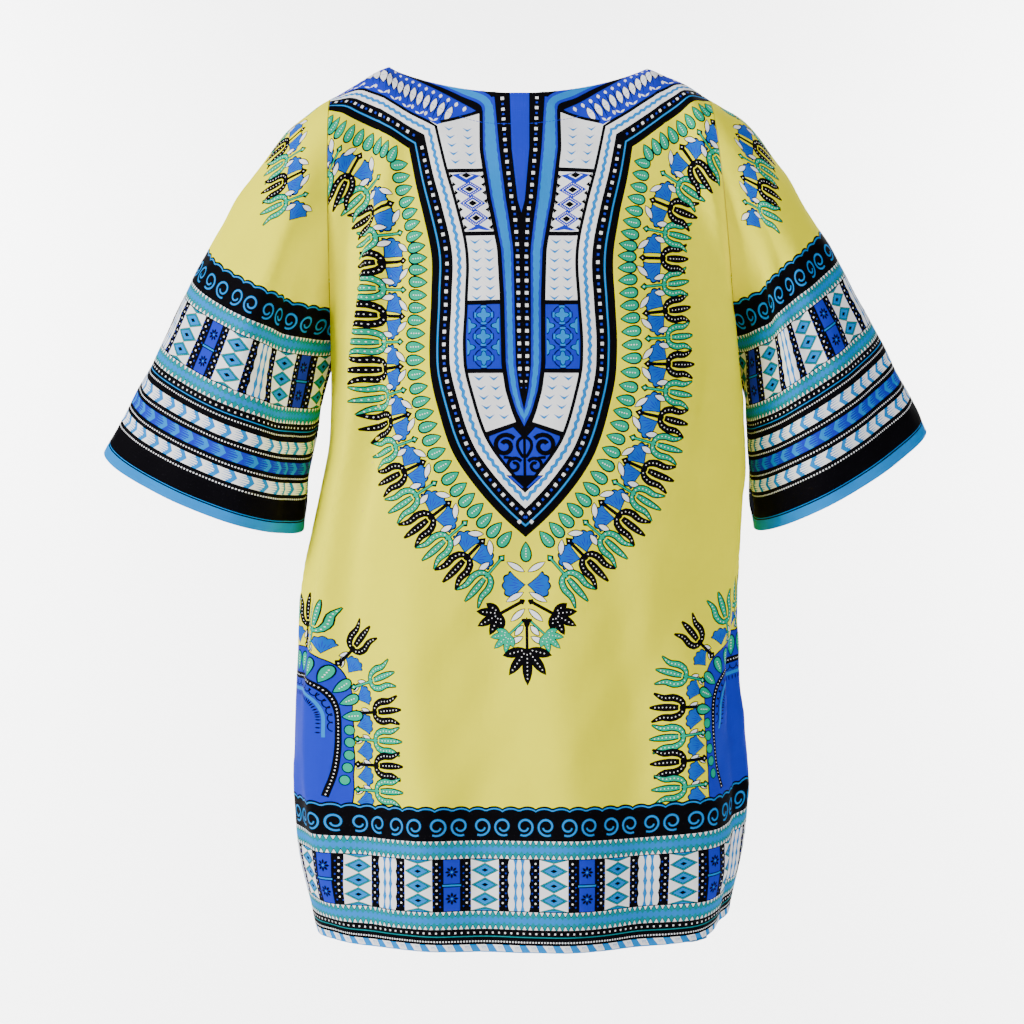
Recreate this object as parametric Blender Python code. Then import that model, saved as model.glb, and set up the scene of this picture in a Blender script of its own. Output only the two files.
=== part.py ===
"""Dashiki shirt: a loose cotton tunic of four sewn pieces, held open as it is worn.

The back and front panels meet at the shoulder seams and the side seams, and a
wide sleeve is set into each armhole. Both side seams stop at a vent above the
hem. Each piece is a wall with a turned hem where the real one is turned.

Metres, +Z up. The wearer faces +Y and +X is the wearer's right. The origin is
the middle of the neck opening at the height of the shoulder seams.

Each panel is worked out on two shares: across, from -1 at its left edge to +1
at its right edge, and level, the height on the body, which is 0 along the top
edge of the panel, CHEST where the armholes end and HEM at the lower edge.
"""

import bpy
import numpy as np

# The cloth, its turned hems and the room left at each seam.
WALL = 0.0012
TURNED_EXTRA = 0.0008
TURNED_DEPTH = 0.020
SEAM_GAP = 0.0004
VENT_OPEN = 0.0050

# Heights on the body.
CHEST = -0.285
VENT_TOP = -0.600
HEM = -0.812

# The top edge: the neck opening, the shoulder seams and their outer ends.
NECK_HALF = 0.120
SHOULDER_HALF = 0.175
SHOULDER_DROP = 0.030
BACK_NECK_DROP = 0.030
BACK_NECK_REACH = 0.062
FRONT_NECK_DROP = 0.128
FRONT_NECK_REACH = 0.086

# How the section of the body turns from straight across to straight forward.
FLATNESS = 1.8

# The half flat width of a panel below the armholes.
PANEL_HALF = 0.285

# Columns: level, half width left, half width right, depth behind, depth in front.
BODY_TABLE = np.array([
    (-0.285, 0.176, 0.205, 0.128, 0.120),
    (-0.345, 0.177, 0.210, 0.130, 0.122),
    (-0.405, 0.188, 0.209, 0.127, 0.121),
    (-0.455, 0.198, 0.206, 0.124, 0.122),
    (-0.505, 0.204, 0.205, 0.123, 0.124),
    (-0.565, 0.208, 0.205, 0.126, 0.127),
    (-0.625, 0.210, 0.211, 0.131, 0.129),
    (-0.685, 0.210, 0.215, 0.134, 0.130),
    (-0.745, 0.205, 0.211, 0.134, 0.130),
    (-0.812, 0.188, 0.197, 0.131, 0.127),
])
LEVEL, LEFT, RIGHT, BEHIND, AHEAD = range(5)

# How much the lower corners are carried up, on the left and on the right.
CORNER_LIFT_LEFT = 0.008
CORNER_LIFT_RIGHT = 0.027

# Columns: upper level, lower level, place across at the top, in the middle and
# at the bottom, half width, height out of the cloth.
BACK_FOLDS = (
    (-0.040, -0.360, -0.62, -0.60, -0.68, 0.0200, 0.0090),
    (-0.200, -0.540, -0.57, -0.66, -0.78, 0.0230, -0.0140),
    (-0.140, -0.560, -0.86, -0.86, -0.90, 0.0240, 0.0070),
    (-0.040, -0.280, 0.90, 0.91, 0.84, 0.0180, 0.0070),
    (-0.170, -0.560, 0.82, 0.62, 0.48, 0.0300, -0.0085),
    (-0.250, -0.600, 0.88, 0.82, 0.74, 0.0280, 0.0080),
    (-0.480, -0.860, -0.62, -0.60, -0.62, 0.0300, 0.0070),
    (-0.560, -0.900, -0.40, -0.36, -0.34, 0.0320, -0.0050),
    (-0.600, -0.900, -0.10, -0.12, -0.14, 0.0360, 0.0050),
    (-0.620, -0.900, 0.16, 0.18, 0.20, 0.0340, -0.0050),
    (-0.560, -0.900, 0.40, 0.42, 0.44, 0.0320, 0.0050),
    (-0.520, -0.900, 0.66, 0.68, 0.70, 0.0280, -0.0070),
)
FRONT_FOLDS = (
    (-0.060, -0.420, -0.70, -0.66, -0.58, 0.0300, -0.0065),
    (-0.060, -0.420, 0.70, 0.66, 0.60, 0.0300, -0.0065),
    (-0.240, -0.620, -0.84, -0.80, -0.74, 0.0280, 0.0060),
    (-0.240, -0.620, 0.84, 0.80, 0.72, 0.0280, 0.0060),
    (-0.420, -0.900, -0.56, -0.50, -0.48, 0.0340, -0.0070),
    (-0.420, -0.900, 0.52, 0.48, 0.44, 0.0340, 0.0070),
    (-0.520, -0.900, -0.20, -0.16, -0.14, 0.0360, 0.0055),
    (-0.560, -0.900, 0.14, 0.16, 0.18, 0.0340, -0.0055),
    (-0.520, -0.900, 0.76, 0.78, 0.80, 0.0260, -0.0060),
    (-0.520, -0.900, -0.76, -0.78, -0.80, 0.0260, 0.0060),
)

# A sleeve's share round is 0 along its upper edge, 0.25 at the back, 0.5 under
# the arm and 0.75 in front. Its share along is 0 at the armhole, 1 at the cuff.
# Columns: upper share along, lower share along, place round at the top, in the
# middle and at the bottom, half width, height out of the cloth.
LEFT_SLEEVE_FOLDS = (
    (-0.10, 0.60, 0.300, 0.315, 0.340, 0.0240, -0.0070),
    (-0.05, 0.80, 0.225, 0.240, 0.260, 0.0240, 0.0045),
    (0.10, 1.30, 0.400, 0.405, 0.410, 0.0220, -0.0070),
    (0.55, 1.45, 0.180, 0.175, 0.170, 0.0220, -0.0040),
    (0.05, 1.30, 0.630, 0.640, 0.650, 0.0240, -0.0070),
    (0.10, 1.30, 0.760, 0.770, 0.780, 0.0240, 0.0050),
)
RIGHT_SLEEVE_FOLDS = (
    (-0.10, 0.60, 0.315, 0.320, 0.330, 0.0240, -0.0060),
    (-0.05, 0.70, 0.215, 0.220, 0.230, 0.0240, -0.0050),
    (0.30, 1.10, 0.110, 0.120, 0.130, 0.0260, -0.0045),
    (0.05, 1.30, 0.635, 0.640, 0.645, 0.0240, -0.0070),
    (0.10, 1.30, 0.765, 0.770, 0.780, 0.0240, 0.0050),
)

# Each sleeve: the outer and inner ends of the cuff's long axis, and how far the
# cuff reaches back and down from its middle.
LEFT_CUFF = ((-0.389, 0.0, -0.359), (-0.201, 0.0, -0.431), (0.0, -0.057, -0.021))
RIGHT_CUFF = ((0.382, 0.0, -0.339), (0.220, 0.0, -0.430), (0.0, -0.065, -0.017))

# How a left sleeve leaves the armhole and reaches the cuff, along its top, back,
# under-arm and front lines. A right sleeve mirrors them.
SLEEVE_START = {
    "top": (-0.26, 0.0, -0.13), "back": (-0.16, -0.02, -0.15),
    "under": (-0.034, 0.0, -0.090), "front": (-0.16, 0.02, -0.15),
}
SLEEVE_END = {
    "top": (-0.17, 0.0, -0.30), "back": (-0.11, 0.01, -0.25),
    "under": (-0.012, 0.0, -0.150), "front": (-0.11, -0.01, -0.25),
}

# How fine each grid is.
BACK_COLUMNS = 52
FRONT_COLUMNS = 38
ROWS_ABOVE = 14
ROWS_BELOW = 12
SLEEVE_ALONG = 12

PANEL_BACK, PANEL_FRONT = -1, 1
STEP = 1e-4


def clear_scene():
    """Remove what the start-up scene holds."""
    for thing in list(bpy.data.objects):
        bpy.data.objects.remove(thing, do_unlink=True)


def ease(share):
    """Smooth step from 0 to 1."""
    share = np.clip(share, 0.0, 1.0)
    return share * share * (3 - 2 * share)


def through(at, places, values):
    """A smooth curve through the points (places, values), read at each of at."""
    slopes = np.gradient(values, places)
    at = np.clip(at, places[0], places[-1])
    k = np.clip(np.searchsorted(places, at) - 1, 0, len(places) - 2)
    span = places[k + 1] - places[k]
    return hermite((at - places[k]) / span, values[k], slopes[k] * span,
                   values[k + 1], slopes[k + 1] * span)


def hermite(t, start, start_way, end, end_way):
    """The cubic that leaves start along start_way and reaches end along end_way."""
    s = 1 - t
    return (start * (1 + 2 * t) * s * s + start_way * t * s * s
            + end * (3 - 2 * t) * t * t - end_way * s * t * t)


def body_size(level, column):
    """One column of the body table at each level."""
    table = BODY_TABLE[::-1]
    return through(level, table[:, LEVEL], table[:, column])


def turning():
    """Shares across and forward of a line whose heading turns through a right angle."""
    share = np.linspace(0.0, 1.0, 401)
    heading = 0.5 * np.pi * share ** FLATNESS
    across = np.concatenate([[0.0], np.cumsum((np.cos(heading[1:]) + np.cos(heading[:-1])) / 2)])
    forward = np.concatenate([[0.0], np.cumsum((np.sin(heading[1:]) + np.sin(heading[:-1])) / 2)])
    return share, across / across[-1], forward / forward[-1]


TURN_SHARE, TURN_ACROSS, TURN_FORWARD = turning()


def body_row(side, across, level):
    """A point of the loose body below the armholes: the turning section at that level."""
    left = across < 0
    half = np.where(left, body_size(level, LEFT), body_size(level, RIGHT))
    depth = body_size(level, BEHIND if side == PANEL_BACK else AHEAD)
    share = np.abs(across)
    lift = np.where(left, CORNER_LIFT_LEFT, CORNER_LIFT_RIGHT)
    lift = lift * share ** 3 * ease((level + 0.42) / (HEM + 0.42))
    return np.stack([
        np.sign(across) * half * np.interp(share, TURN_SHARE, TURN_ACROSS),
        side * depth * (1 - np.interp(share, TURN_SHARE, TURN_FORWARD)),
        level + lift,
    ], axis=-1)


def top_edge(side, across):
    """The neck opening and the shoulder seams, from one armhole to the other."""
    x = across * SHOULDER_HALF
    inside = np.clip(1 - (x / NECK_HALF) ** 2, 0, 1)
    outside = np.clip((np.abs(x) - NECK_HALF) / (SHOULDER_HALF - NECK_HALF), 0, 1)
    if side == PANEL_BACK:
        y = -BACK_NECK_REACH * inside ** 0.85
        z = -BACK_NECK_DROP * inside ** 0.9
    else:
        inwards = np.clip(1 - np.abs(x) / NECK_HALF, 0, 1)
        y = FRONT_NECK_REACH * inwards ** 0.85
        z = -FRONT_NECK_DROP * inwards ** 1.06
    return np.stack([x, y, z - SHOULDER_DROP * outside ** 1.15], axis=-1)


def plain_panel(side, across, level):
    """The panel without its folds: rounded over the shoulder, and hanging below the chest."""
    t = np.clip(level / CHEST, 0, 1)[..., None]
    top = top_edge(side, across)
    chest = body_row(side, across, np.full_like(level, CHEST))
    share = np.abs(across)
    neck = NECK_HALF / SHOULDER_HALF
    reach = BACK_NECK_REACH if side == PANEL_BACK else FRONT_NECK_REACH
    near_neck = np.abs(top[..., 1]) / reach
    steep = 0.12 if side == PANEL_BACK else 0.06
    leave_y = side * (0.30 + 0.16 * ease((share - neck) / (1 - neck))) * (1 - near_neck)
    leave_y = leave_y + side * steep * near_neck
    leave_z = -0.20 * near_neck
    start_way = np.stack([0.25 * (chest - top)[..., 0], leave_y, leave_z], axis=-1)
    end_way = np.stack([
        0.8 * (chest - top)[..., 0],
        -side * 0.10 * share ** 4,
        np.full_like(share, -0.29),
    ], axis=-1)
    above = hermite(t, top, start_way, chest, end_way)
    below = body_row(side, across, np.minimum(level, CHEST))
    return np.where((level > CHEST)[..., None], above, below)


def cross_unit(first, second):
    """Unit normals of two fields of directions."""
    normal = np.cross(first, second)
    return normal / np.maximum(np.linalg.norm(normal, axis=-1, keepdims=True), 1e-12)


def panel_normal(side, across, level):
    """The outward normal of the plain panel."""
    wide = plain_panel(side, across + STEP, level) - plain_panel(side, across - STEP, level)
    high = plain_panel(side, across, level + STEP) - plain_panel(side, across, level - STEP)
    return -side * cross_unit(wide, high)


def fold_place(top, bottom, places, at):
    """Where a fold's line runs at each level, and how strong it is there."""
    t = (at - top) / (bottom - top)
    first, middle, last = places
    line = first * (1 - t) * (1 - 2 * t) + middle * 4 * t * (1 - t) + last * t * (2 * t - 1)
    strength = np.sin(np.pi * np.clip(t, 0, 1)) ** 0.8
    return np.where(strength > 0, line, middle), strength


def panel(side, across, level):
    """The draped panel: the plain one with each fold lifting or sinking the cloth."""
    folds = BACK_FOLDS if side == PANEL_BACK else FRONT_FOLDS
    raised = np.zeros_like(across)
    room = np.interp(level, [CHEST, 0.0], [PANEL_HALF, SHOULDER_HALF + 0.012])
    for top, bottom, first, middle, last, width, height in folds:
        line, strength = fold_place(top, bottom, (first, middle, last), level)
        off = (across - line) * room / width
        raised += strength * height * np.exp(-off * off)
    share = np.abs(across)
    raised *= ease((1 - share) / 0.16)
    placed = plain_panel(side, across, level)
    placed = placed + raised[..., None] * panel_normal(side, across, level)
    parted = VENT_OPEN * ease((VENT_TOP - level) / 0.12) * ease((share - 0.86) / 0.14)
    placed[..., 1] += side * (SEAM_GAP / 2 + parted)
    return placed


def edge_frame(side, end, level):
    """The armhole edge of a panel, its normal there and the way out of the panel."""
    across = np.full_like(level, end)
    edge = panel(side, across, level)
    normal = panel_normal(side, across, level)
    along = np.gradient(edge, axis=0)
    out = np.cross(normal, along)
    out /= np.maximum(np.linalg.norm(out, axis=-1, keepdims=True), 1e-12)
    inwards = panel(side, across * 0.98, level) - edge
    out *= -np.sign(np.sum(out * inwards, axis=-1, keepdims=True))
    return edge, normal, out


def sleeve_way(ways, mirror, turn):
    """One of the sleeve's tables of directions, read all round."""
    top, back, under, front = (np.array(ways[k]) for k in ("top", "back", "under", "front"))
    cos, sin = np.cos(turn)[:, None], np.sin(turn)[:, None]
    upper, lower = np.clip(cos, 0, 1) ** 2, np.clip(-cos, 0, 1) ** 2
    behind, ahead = np.clip(sin, 0, 1) ** 2, np.clip(-sin, 0, 1) ** 2
    way = top * upper + under * lower + back * behind + front * ahead
    return way * np.array([mirror, 1.0, 1.0])


def sleeve_grid(end, cuff, folds):
    """Rings of a sleeve, from its armhole to its cuff, and the normals of the first ring."""
    half = ROWS_ABOVE
    level = CHEST * np.linspace(0, 1, half + 1)
    back, back_normal, back_out = edge_frame(PANEL_BACK, end, level)
    front, front_normal, front_out = edge_frame(PANEL_FRONT, end, level)
    edge = np.concatenate([back[:-1], front[:0:-1]])
    body_normal = np.concatenate([back_normal[:-1], front_normal[:0:-1]])
    out = np.concatenate([back_out[:-1], front_out[:0:-1]])
    for corner, other in ((0, 0), (half, -1)):
        pair_out = back_out[other] + front_out[other]
        edge[corner] = (back[other] + front[other]) / 2
        out[corner] = pair_out / np.linalg.norm(pair_out)
        body_normal[corner] = back_normal[other] + front_normal[other]
        body_normal[corner] /= np.linalg.norm(body_normal[corner])
    start = edge + out * SEAM_GAP
    turn = np.pi * np.arange(2 * half) / half
    outer, inner, reach = (np.array(point) for point in cuff)
    middle, long_way = (outer + inner) / 2, (outer - inner) / 2
    finish = middle + long_way * np.cos(turn)[:, None] + reach * np.sin(turn)[:, None]
    mirror = -end
    start_way = sleeve_way(SLEEVE_START, mirror, turn)
    end_way = sleeve_way(SLEEVE_END, mirror, turn)
    along = np.linspace(0, 1, SLEEVE_ALONG + 1)[:, None, None]
    grid = hermite(along, start, start_way, finish, end_way)
    normal = ring_normals(grid, mirror)
    share = np.broadcast_to(along[..., 0], grid.shape[:2])
    around = np.broadcast_to(turn / (2 * np.pi), grid.shape[:2])
    girth = 0.26 * 2
    raised = np.zeros(grid.shape[:2])
    for top, bottom, first, centre, last, width, height in folds:
        line, strength = fold_place(top, bottom, (first, centre, last), share)
        off = (around - line) * girth / width
        raised += strength * height * np.exp(-off * off)
    raised *= ease(share / 0.30)
    grid = grid + raised[..., None] * normal
    under = ease(1 - np.abs(turn / (2 * np.pi) - 0.5) / 0.16)[:, None]
    first_normal = body_normal + under * ring_normals(grid, mirror)[0]
    first_normal /= np.linalg.norm(first_normal, axis=-1, keepdims=True)
    return grid, first_normal


def ring_normals(grid, mirror):
    """Outward normals of a grid of closed rings."""
    along = np.gradient(grid, axis=0)
    around = np.roll(grid, -1, axis=1) - np.roll(grid, 1, axis=1)
    return mirror * cross_unit(along, around)


def sheet_normals(grid, side):
    """Outward normals of an open grid whose rows run down and columns run across."""
    return side * cross_unit(np.gradient(grid, axis=1), np.gradient(grid, axis=0))


def halves(quads):
    """Each quad as two triangles, split the same way on both faces of a wall."""
    return np.concatenate([quads[:, [0, 1, 2]], quads[:, [0, 2, 3]]])


def wall_object(name, outer, inner, closed, flip, material):
    """A closed wall between two grids, joined round their open edges."""
    rows, columns = outer.shape[:2]
    count = rows * columns
    number = np.arange(count).reshape(rows, columns)
    right = np.roll(number, -1, axis=1)
    last = columns if closed else columns - 1
    a, b = number[:-1, :last], right[:-1, :last]
    c, d = right[1:, :last], number[1:, :last]
    face = halves(np.stack([a, d, c, b], axis=-1).reshape(-1, 4))
    faces = [face, face[:, ::-1] + count]
    for row, turned in ((0, False), (-1, True)):
        first, second = number[row, :last], right[row, :last]
        rim = halves(np.stack([first, second, second + count, first + count], axis=-1))
        faces.append(rim[:, ::-1] if turned else rim)
    if not closed:
        for column, turned in ((0, True), (-1, False)):
            first, second = number[:-1, column], number[1:, column]
            rim = halves(np.stack([first, second, second + count, first + count], axis=-1))
            faces.append(rim[:, ::-1] if turned else rim)
    faces = np.concatenate(faces)
    if flip:
        faces = faces[:, ::-1]
    mesh = bpy.data.meshes.new(name)
    points = np.concatenate([outer.reshape(-1, 3), inner.reshape(-1, 3)])
    mesh.from_pydata(points.tolist(), [], faces.tolist())
    mesh.shade_smooth()
    mesh.set_sharp_from_angle(angle=np.radians(50))
    mesh.materials.append(material)
    thing = bpy.data.objects.new(name, mesh)
    bpy.context.scene.collection.objects.link(thing)
    return thing


def cloth_material(name, colour, roughness):
    """Printed cotton seen from a distance: the colour that most of it has, matt."""
    material = bpy.data.materials.new(name)
    material.use_nodes = True
    shader = material.node_tree.nodes["Principled BSDF"]
    shader.inputs["Base Color"].default_value = (*colour, 1.0)
    shader.inputs["Roughness"].default_value = roughness
    shader.inputs["Metallic"].default_value = 0.0
    return material


def gathered(columns):
    """Columns from -1 to 1, closer together where the long folds run."""
    fine = np.linspace(-1, 1, 801)
    weight = 1 + 1.3 * np.exp(-((np.abs(fine) - 0.68) / 0.16) ** 2)
    total = np.concatenate([[0.0], np.cumsum((weight[1:] + weight[:-1]) / 2)])
    return np.interp(np.linspace(0, total[-1], columns + 1), total, fine)


def build_panel(name, side, columns, material):
    """The back or the front, with its hem turned inside."""
    across = gathered(columns)
    level = np.concatenate([
        CHEST * np.linspace(0, 1, ROWS_ABOVE + 1),
        np.linspace(CHEST, HEM + TURNED_DEPTH, ROWS_BELOW)[1:],
        [HEM + 0.4 * TURNED_DEPTH, HEM],
    ])
    wide, high = np.meshgrid(across, level)
    outer = panel(side, wide, high)
    normal = sheet_normals(outer, side)
    normal[:, [0, -1]] = panel_normal(side, wide[:, [0, -1]], high[:, [0, -1]])
    turned = TURNED_EXTRA * ease((HEM + TURNED_DEPTH - high) / (0.3 * TURNED_DEPTH))
    inner = outer - normal * (WALL + turned)[..., None]
    return wall_object(name, outer, inner, False, side == PANEL_FRONT, material)


def build_sleeve(name, end, cuff, folds, material):
    """A sleeve, one ring of cloth from the armhole to the cuff, with a turned cuff."""
    outer, first_normal = sleeve_grid(end, cuff, folds)
    normal = ring_normals(outer, -end)
    normal[0] = first_normal
    share = np.linspace(0, 1, SLEEVE_ALONG + 1)[:, None]
    turned = TURNED_EXTRA * ease((share - 0.93) / 0.02)
    inner = outer - normal * (WALL + turned)[..., None]
    return wall_object(name, outer, inner, True, end > 0, material)


def main():
    clear_scene()
    body_cloth = cloth_material("body_cloth", (0.86, 0.70, 0.08), 0.85)
    sleeve_cloth = cloth_material("sleeve_cloth", (0.13, 0.30, 0.38), 0.85)
    build_panel("back", PANEL_BACK, BACK_COLUMNS, body_cloth)
    build_panel("front", PANEL_FRONT, FRONT_COLUMNS, body_cloth)
    build_sleeve("sleeve_left", -1, LEFT_CUFF, LEFT_SLEEVE_FOLDS, sleeve_cloth)
    build_sleeve("sleeve_right", 1, RIGHT_CUFF, RIGHT_SLEEVE_FOLDS, sleeve_cloth)


main()
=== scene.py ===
"""The looks of a dashiki shirt: printed cotton in four sewn pieces, worn open.

Each panel and each sleeve is first drawn flat, as it was cut and printed. The
print's outlines are cut into the flat cloth with a constrained triangulation,
so that every colour of the print is its own faces, and each flat point is then
carried to its place on the draped cloth.

Metres, +Z up. The wearer faces +Y and +X is the wearer's right.
"""

import bpy
import numpy as np
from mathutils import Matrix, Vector
from mathutils.geometry import delaunay_2d_cdt


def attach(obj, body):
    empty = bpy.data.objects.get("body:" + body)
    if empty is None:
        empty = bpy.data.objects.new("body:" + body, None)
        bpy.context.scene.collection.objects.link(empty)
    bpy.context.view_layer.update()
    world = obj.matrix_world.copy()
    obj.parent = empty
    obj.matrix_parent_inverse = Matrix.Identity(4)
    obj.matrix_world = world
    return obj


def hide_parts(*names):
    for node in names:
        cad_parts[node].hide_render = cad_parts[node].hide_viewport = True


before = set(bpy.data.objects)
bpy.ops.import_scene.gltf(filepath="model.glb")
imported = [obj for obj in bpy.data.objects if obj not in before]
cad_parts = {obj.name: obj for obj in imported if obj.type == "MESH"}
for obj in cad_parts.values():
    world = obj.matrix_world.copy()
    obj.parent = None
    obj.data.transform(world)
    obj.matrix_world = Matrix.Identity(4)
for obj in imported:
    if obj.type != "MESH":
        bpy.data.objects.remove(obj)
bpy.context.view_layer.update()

MM = 0.001
BACK, FRONT = -1, 1

# The draped form. These sizes and tables are the ones of the part's source.
CHEST, VENT_TOP, HEM = -0.285, -0.600, -0.812
NECK_HALF, SHOULDER_HALF, SHOULDER_DROP = 0.120, 0.175, 0.030
NECK_DROP = {BACK: 0.030, FRONT: 0.128}
NECK_REACH = {BACK: 0.062, FRONT: 0.086}
NECK_STEEP = {BACK: 0.12, FRONT: 0.06}
FLATNESS = 1.8
SEAM_GAP, VENT_OPEN = 0.0004, 0.0050
CORNER_LIFT_LEFT, CORNER_LIFT_RIGHT = 0.008, 0.027
LIFT_TOP = -0.42

# Columns: level, half width left, half width right, depth behind, depth in front.
BODY_TABLE = np.array([
    (-0.285, 0.176, 0.205, 0.128, 0.120),
    (-0.345, 0.177, 0.210, 0.130, 0.122),
    (-0.405, 0.188, 0.209, 0.127, 0.121),
    (-0.455, 0.198, 0.206, 0.124, 0.122),
    (-0.505, 0.204, 0.205, 0.123, 0.124),
    (-0.565, 0.208, 0.205, 0.126, 0.127),
    (-0.625, 0.210, 0.211, 0.131, 0.129),
    (-0.685, 0.210, 0.215, 0.134, 0.130),
    (-0.745, 0.205, 0.211, 0.134, 0.130),
    (-0.812, 0.188, 0.197, 0.131, 0.127),
])[::-1]
LEVEL, LEFT, RIGHT, BEHIND, AHEAD = range(5)

# Each sleeve: the outer and inner ends of the cuff's long axis, and how far the
# cuff reaches back and down from its middle.
CUFFS = {
    -1: ((-0.389, 0.0, -0.359), (-0.201, 0.0, -0.431), (0.0, -0.057, -0.021)),
    1: ((0.382, 0.0, -0.339), (0.220, 0.0, -0.430), (0.0, -0.065, -0.017)),
}
SLEEVE_START = {
    "top": (-0.26, 0.0, -0.13), "back": (-0.16, -0.02, -0.15),
    "under": (-0.034, 0.0, -0.090), "front": (-0.16, 0.02, -0.15),
}
SLEEVE_END = {
    "top": (-0.17, 0.0, -0.30), "back": (-0.11, 0.01, -0.25),
    "under": (-0.012, 0.0, -0.150), "front": (-0.11, -0.01, -0.25),
}
STEP = 1e-4


def ease(share):
    """Smooth step: 3s^2 - 2s^3 between 0 and 1."""
    share = np.clip(share, 0.0, 1.0)
    return share * share * (3 - 2 * share)


def hermite(t, start, start_way, end, end_way):
    """The cubic that leaves start along start_way and reaches end along end_way."""
    s = 1 - t
    return (start * (1 + 2 * t) * s * s + start_way * t * s * s
            + end * (3 - 2 * t) * t * t - end_way * s * t * t)


def through(at, places, values):
    """A smooth curve through the points (places, values), read at each of at."""
    slopes = np.gradient(values, places)
    at = np.clip(at, places[0], places[-1])
    k = np.clip(np.searchsorted(places, at) - 1, 0, len(places) - 2)
    span = places[k + 1] - places[k]
    return hermite((at - places[k]) / span, values[k], slopes[k] * span,
                   values[k + 1], slopes[k + 1] * span)


def body_size(level, column):
    """One column of the body table at each level."""
    return through(level, BODY_TABLE[:, LEVEL], BODY_TABLE[:, column])


def turning():
    """Shares across and forward of a line whose heading turns as share ** FLATNESS."""
    share = np.linspace(0.0, 1.0, 401)
    heading = 0.5 * np.pi * share ** FLATNESS
    across = np.concatenate([[0.0], np.cumsum((np.cos(heading[1:]) + np.cos(heading[:-1])) / 2)])
    forward = np.concatenate([[0.0], np.cumsum((np.sin(heading[1:]) + np.sin(heading[:-1])) / 2)])
    return share, across / across[-1], forward / forward[-1]


TURN_SHARE, TURN_ACROSS, TURN_FORWARD = turning()


def body_row(side, across, level):
    """A point of the loose body below the armholes: the turning section at that level."""
    left = across < 0
    half = np.where(left, body_size(level, LEFT), body_size(level, RIGHT))
    depth = body_size(level, BEHIND if side == BACK else AHEAD)
    share = np.abs(across)
    lift = np.where(left, CORNER_LIFT_LEFT, CORNER_LIFT_RIGHT)
    lift = lift * share ** 3 * ease((level - LIFT_TOP) / (HEM - LIFT_TOP))
    return np.stack([
        np.sign(across) * half * np.interp(share, TURN_SHARE, TURN_ACROSS),
        side * depth * (1 - np.interp(share, TURN_SHARE, TURN_FORWARD)),
        level + lift,
    ], axis=-1)


def top_edge(side, across):
    """The neck opening, a bow behind and a V in front, and the sloping shoulder seams."""
    x = across * SHOULDER_HALF
    if side == BACK:
        inside = np.clip(1 - (x / NECK_HALF) ** 2, 0, 1)
        drop = inside ** 0.9
    else:
        inside = np.clip(1 - np.abs(x) / NECK_HALF, 0, 1)
        drop = inside ** 1.06
    outside = np.clip((np.abs(x) - NECK_HALF) / (SHOULDER_HALF - NECK_HALF), 0, 1)
    y = side * NECK_REACH[side] * inside ** 0.85
    return np.stack([x, y, -NECK_DROP[side] * drop - SHOULDER_DROP * outside ** 1.15], axis=-1)


def plain_panel(side, across, level):
    """The panel without folds: cubics from its top edge to the chest row, then body rows."""
    t = np.clip(level / CHEST, 0, 1)[..., None]
    top = top_edge(side, across)
    chest = body_row(side, across, np.full_like(level, CHEST))
    share = np.abs(across)
    neck = NECK_HALF / SHOULDER_HALF
    near_neck = np.abs(top[..., 1]) / NECK_REACH[side]
    leave_y = 0.30 + 0.16 * ease((share - neck) / (1 - neck))
    leave_y = side * (leave_y * (1 - near_neck) + NECK_STEEP[side] * near_neck)
    start_way = np.stack([0.25 * (chest - top)[..., 0], leave_y, -0.20 * near_neck], axis=-1)
    end_way = np.stack([
        0.8 * (chest - top)[..., 0], -side * 0.10 * share ** 4, np.full_like(share, -0.29),
    ], axis=-1)
    above = hermite(t, top, start_way, chest, end_way)
    below = body_row(side, across, np.minimum(level, CHEST))
    return np.where((level > CHEST)[..., None], above, below)


def cross_unit(first, second):
    """Unit normals of two fields of directions."""
    normal = np.cross(first, second)
    return normal / np.maximum(np.linalg.norm(normal, axis=-1, keepdims=True), 1e-12)


def panel_normal(side, across, level):
    """The outward normal of the plain panel, from differences of STEP each way."""
    wide = plain_panel(side, across + STEP, level) - plain_panel(side, across - STEP, level)
    high = plain_panel(side, across, level + STEP) - plain_panel(side, across, level - STEP)
    return -side * cross_unit(wide, high)


# The flat cut. u runs across a panel from its middle and v down it from the
# shoulders, both as lengths of cloth. The hem is at v = CUT_LENGTH.
CUT_LENGTH = 0.830

# Going from the flat cut to the drape: the share of the half width that a metre
# across takes up at first, how far from the middle the rows start to give, and
# how often the two readings of the tables follow each other.
FIRST_SHARE = 1 / 0.28
STIFF_MIDDLE = 0.10
ROUNDS = 11

# The tables' sizes: shares across, levels down, and steps of flat width and
# length. In metres: how far the steps reach from the middle and above the top.
SHARES, LEVELS, WIDE_STEPS, HIGH_STEPS = 241, 331, 341, 456
TABLE_HALF, TABLE_ABOVE = 0.34, 0.08


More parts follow.
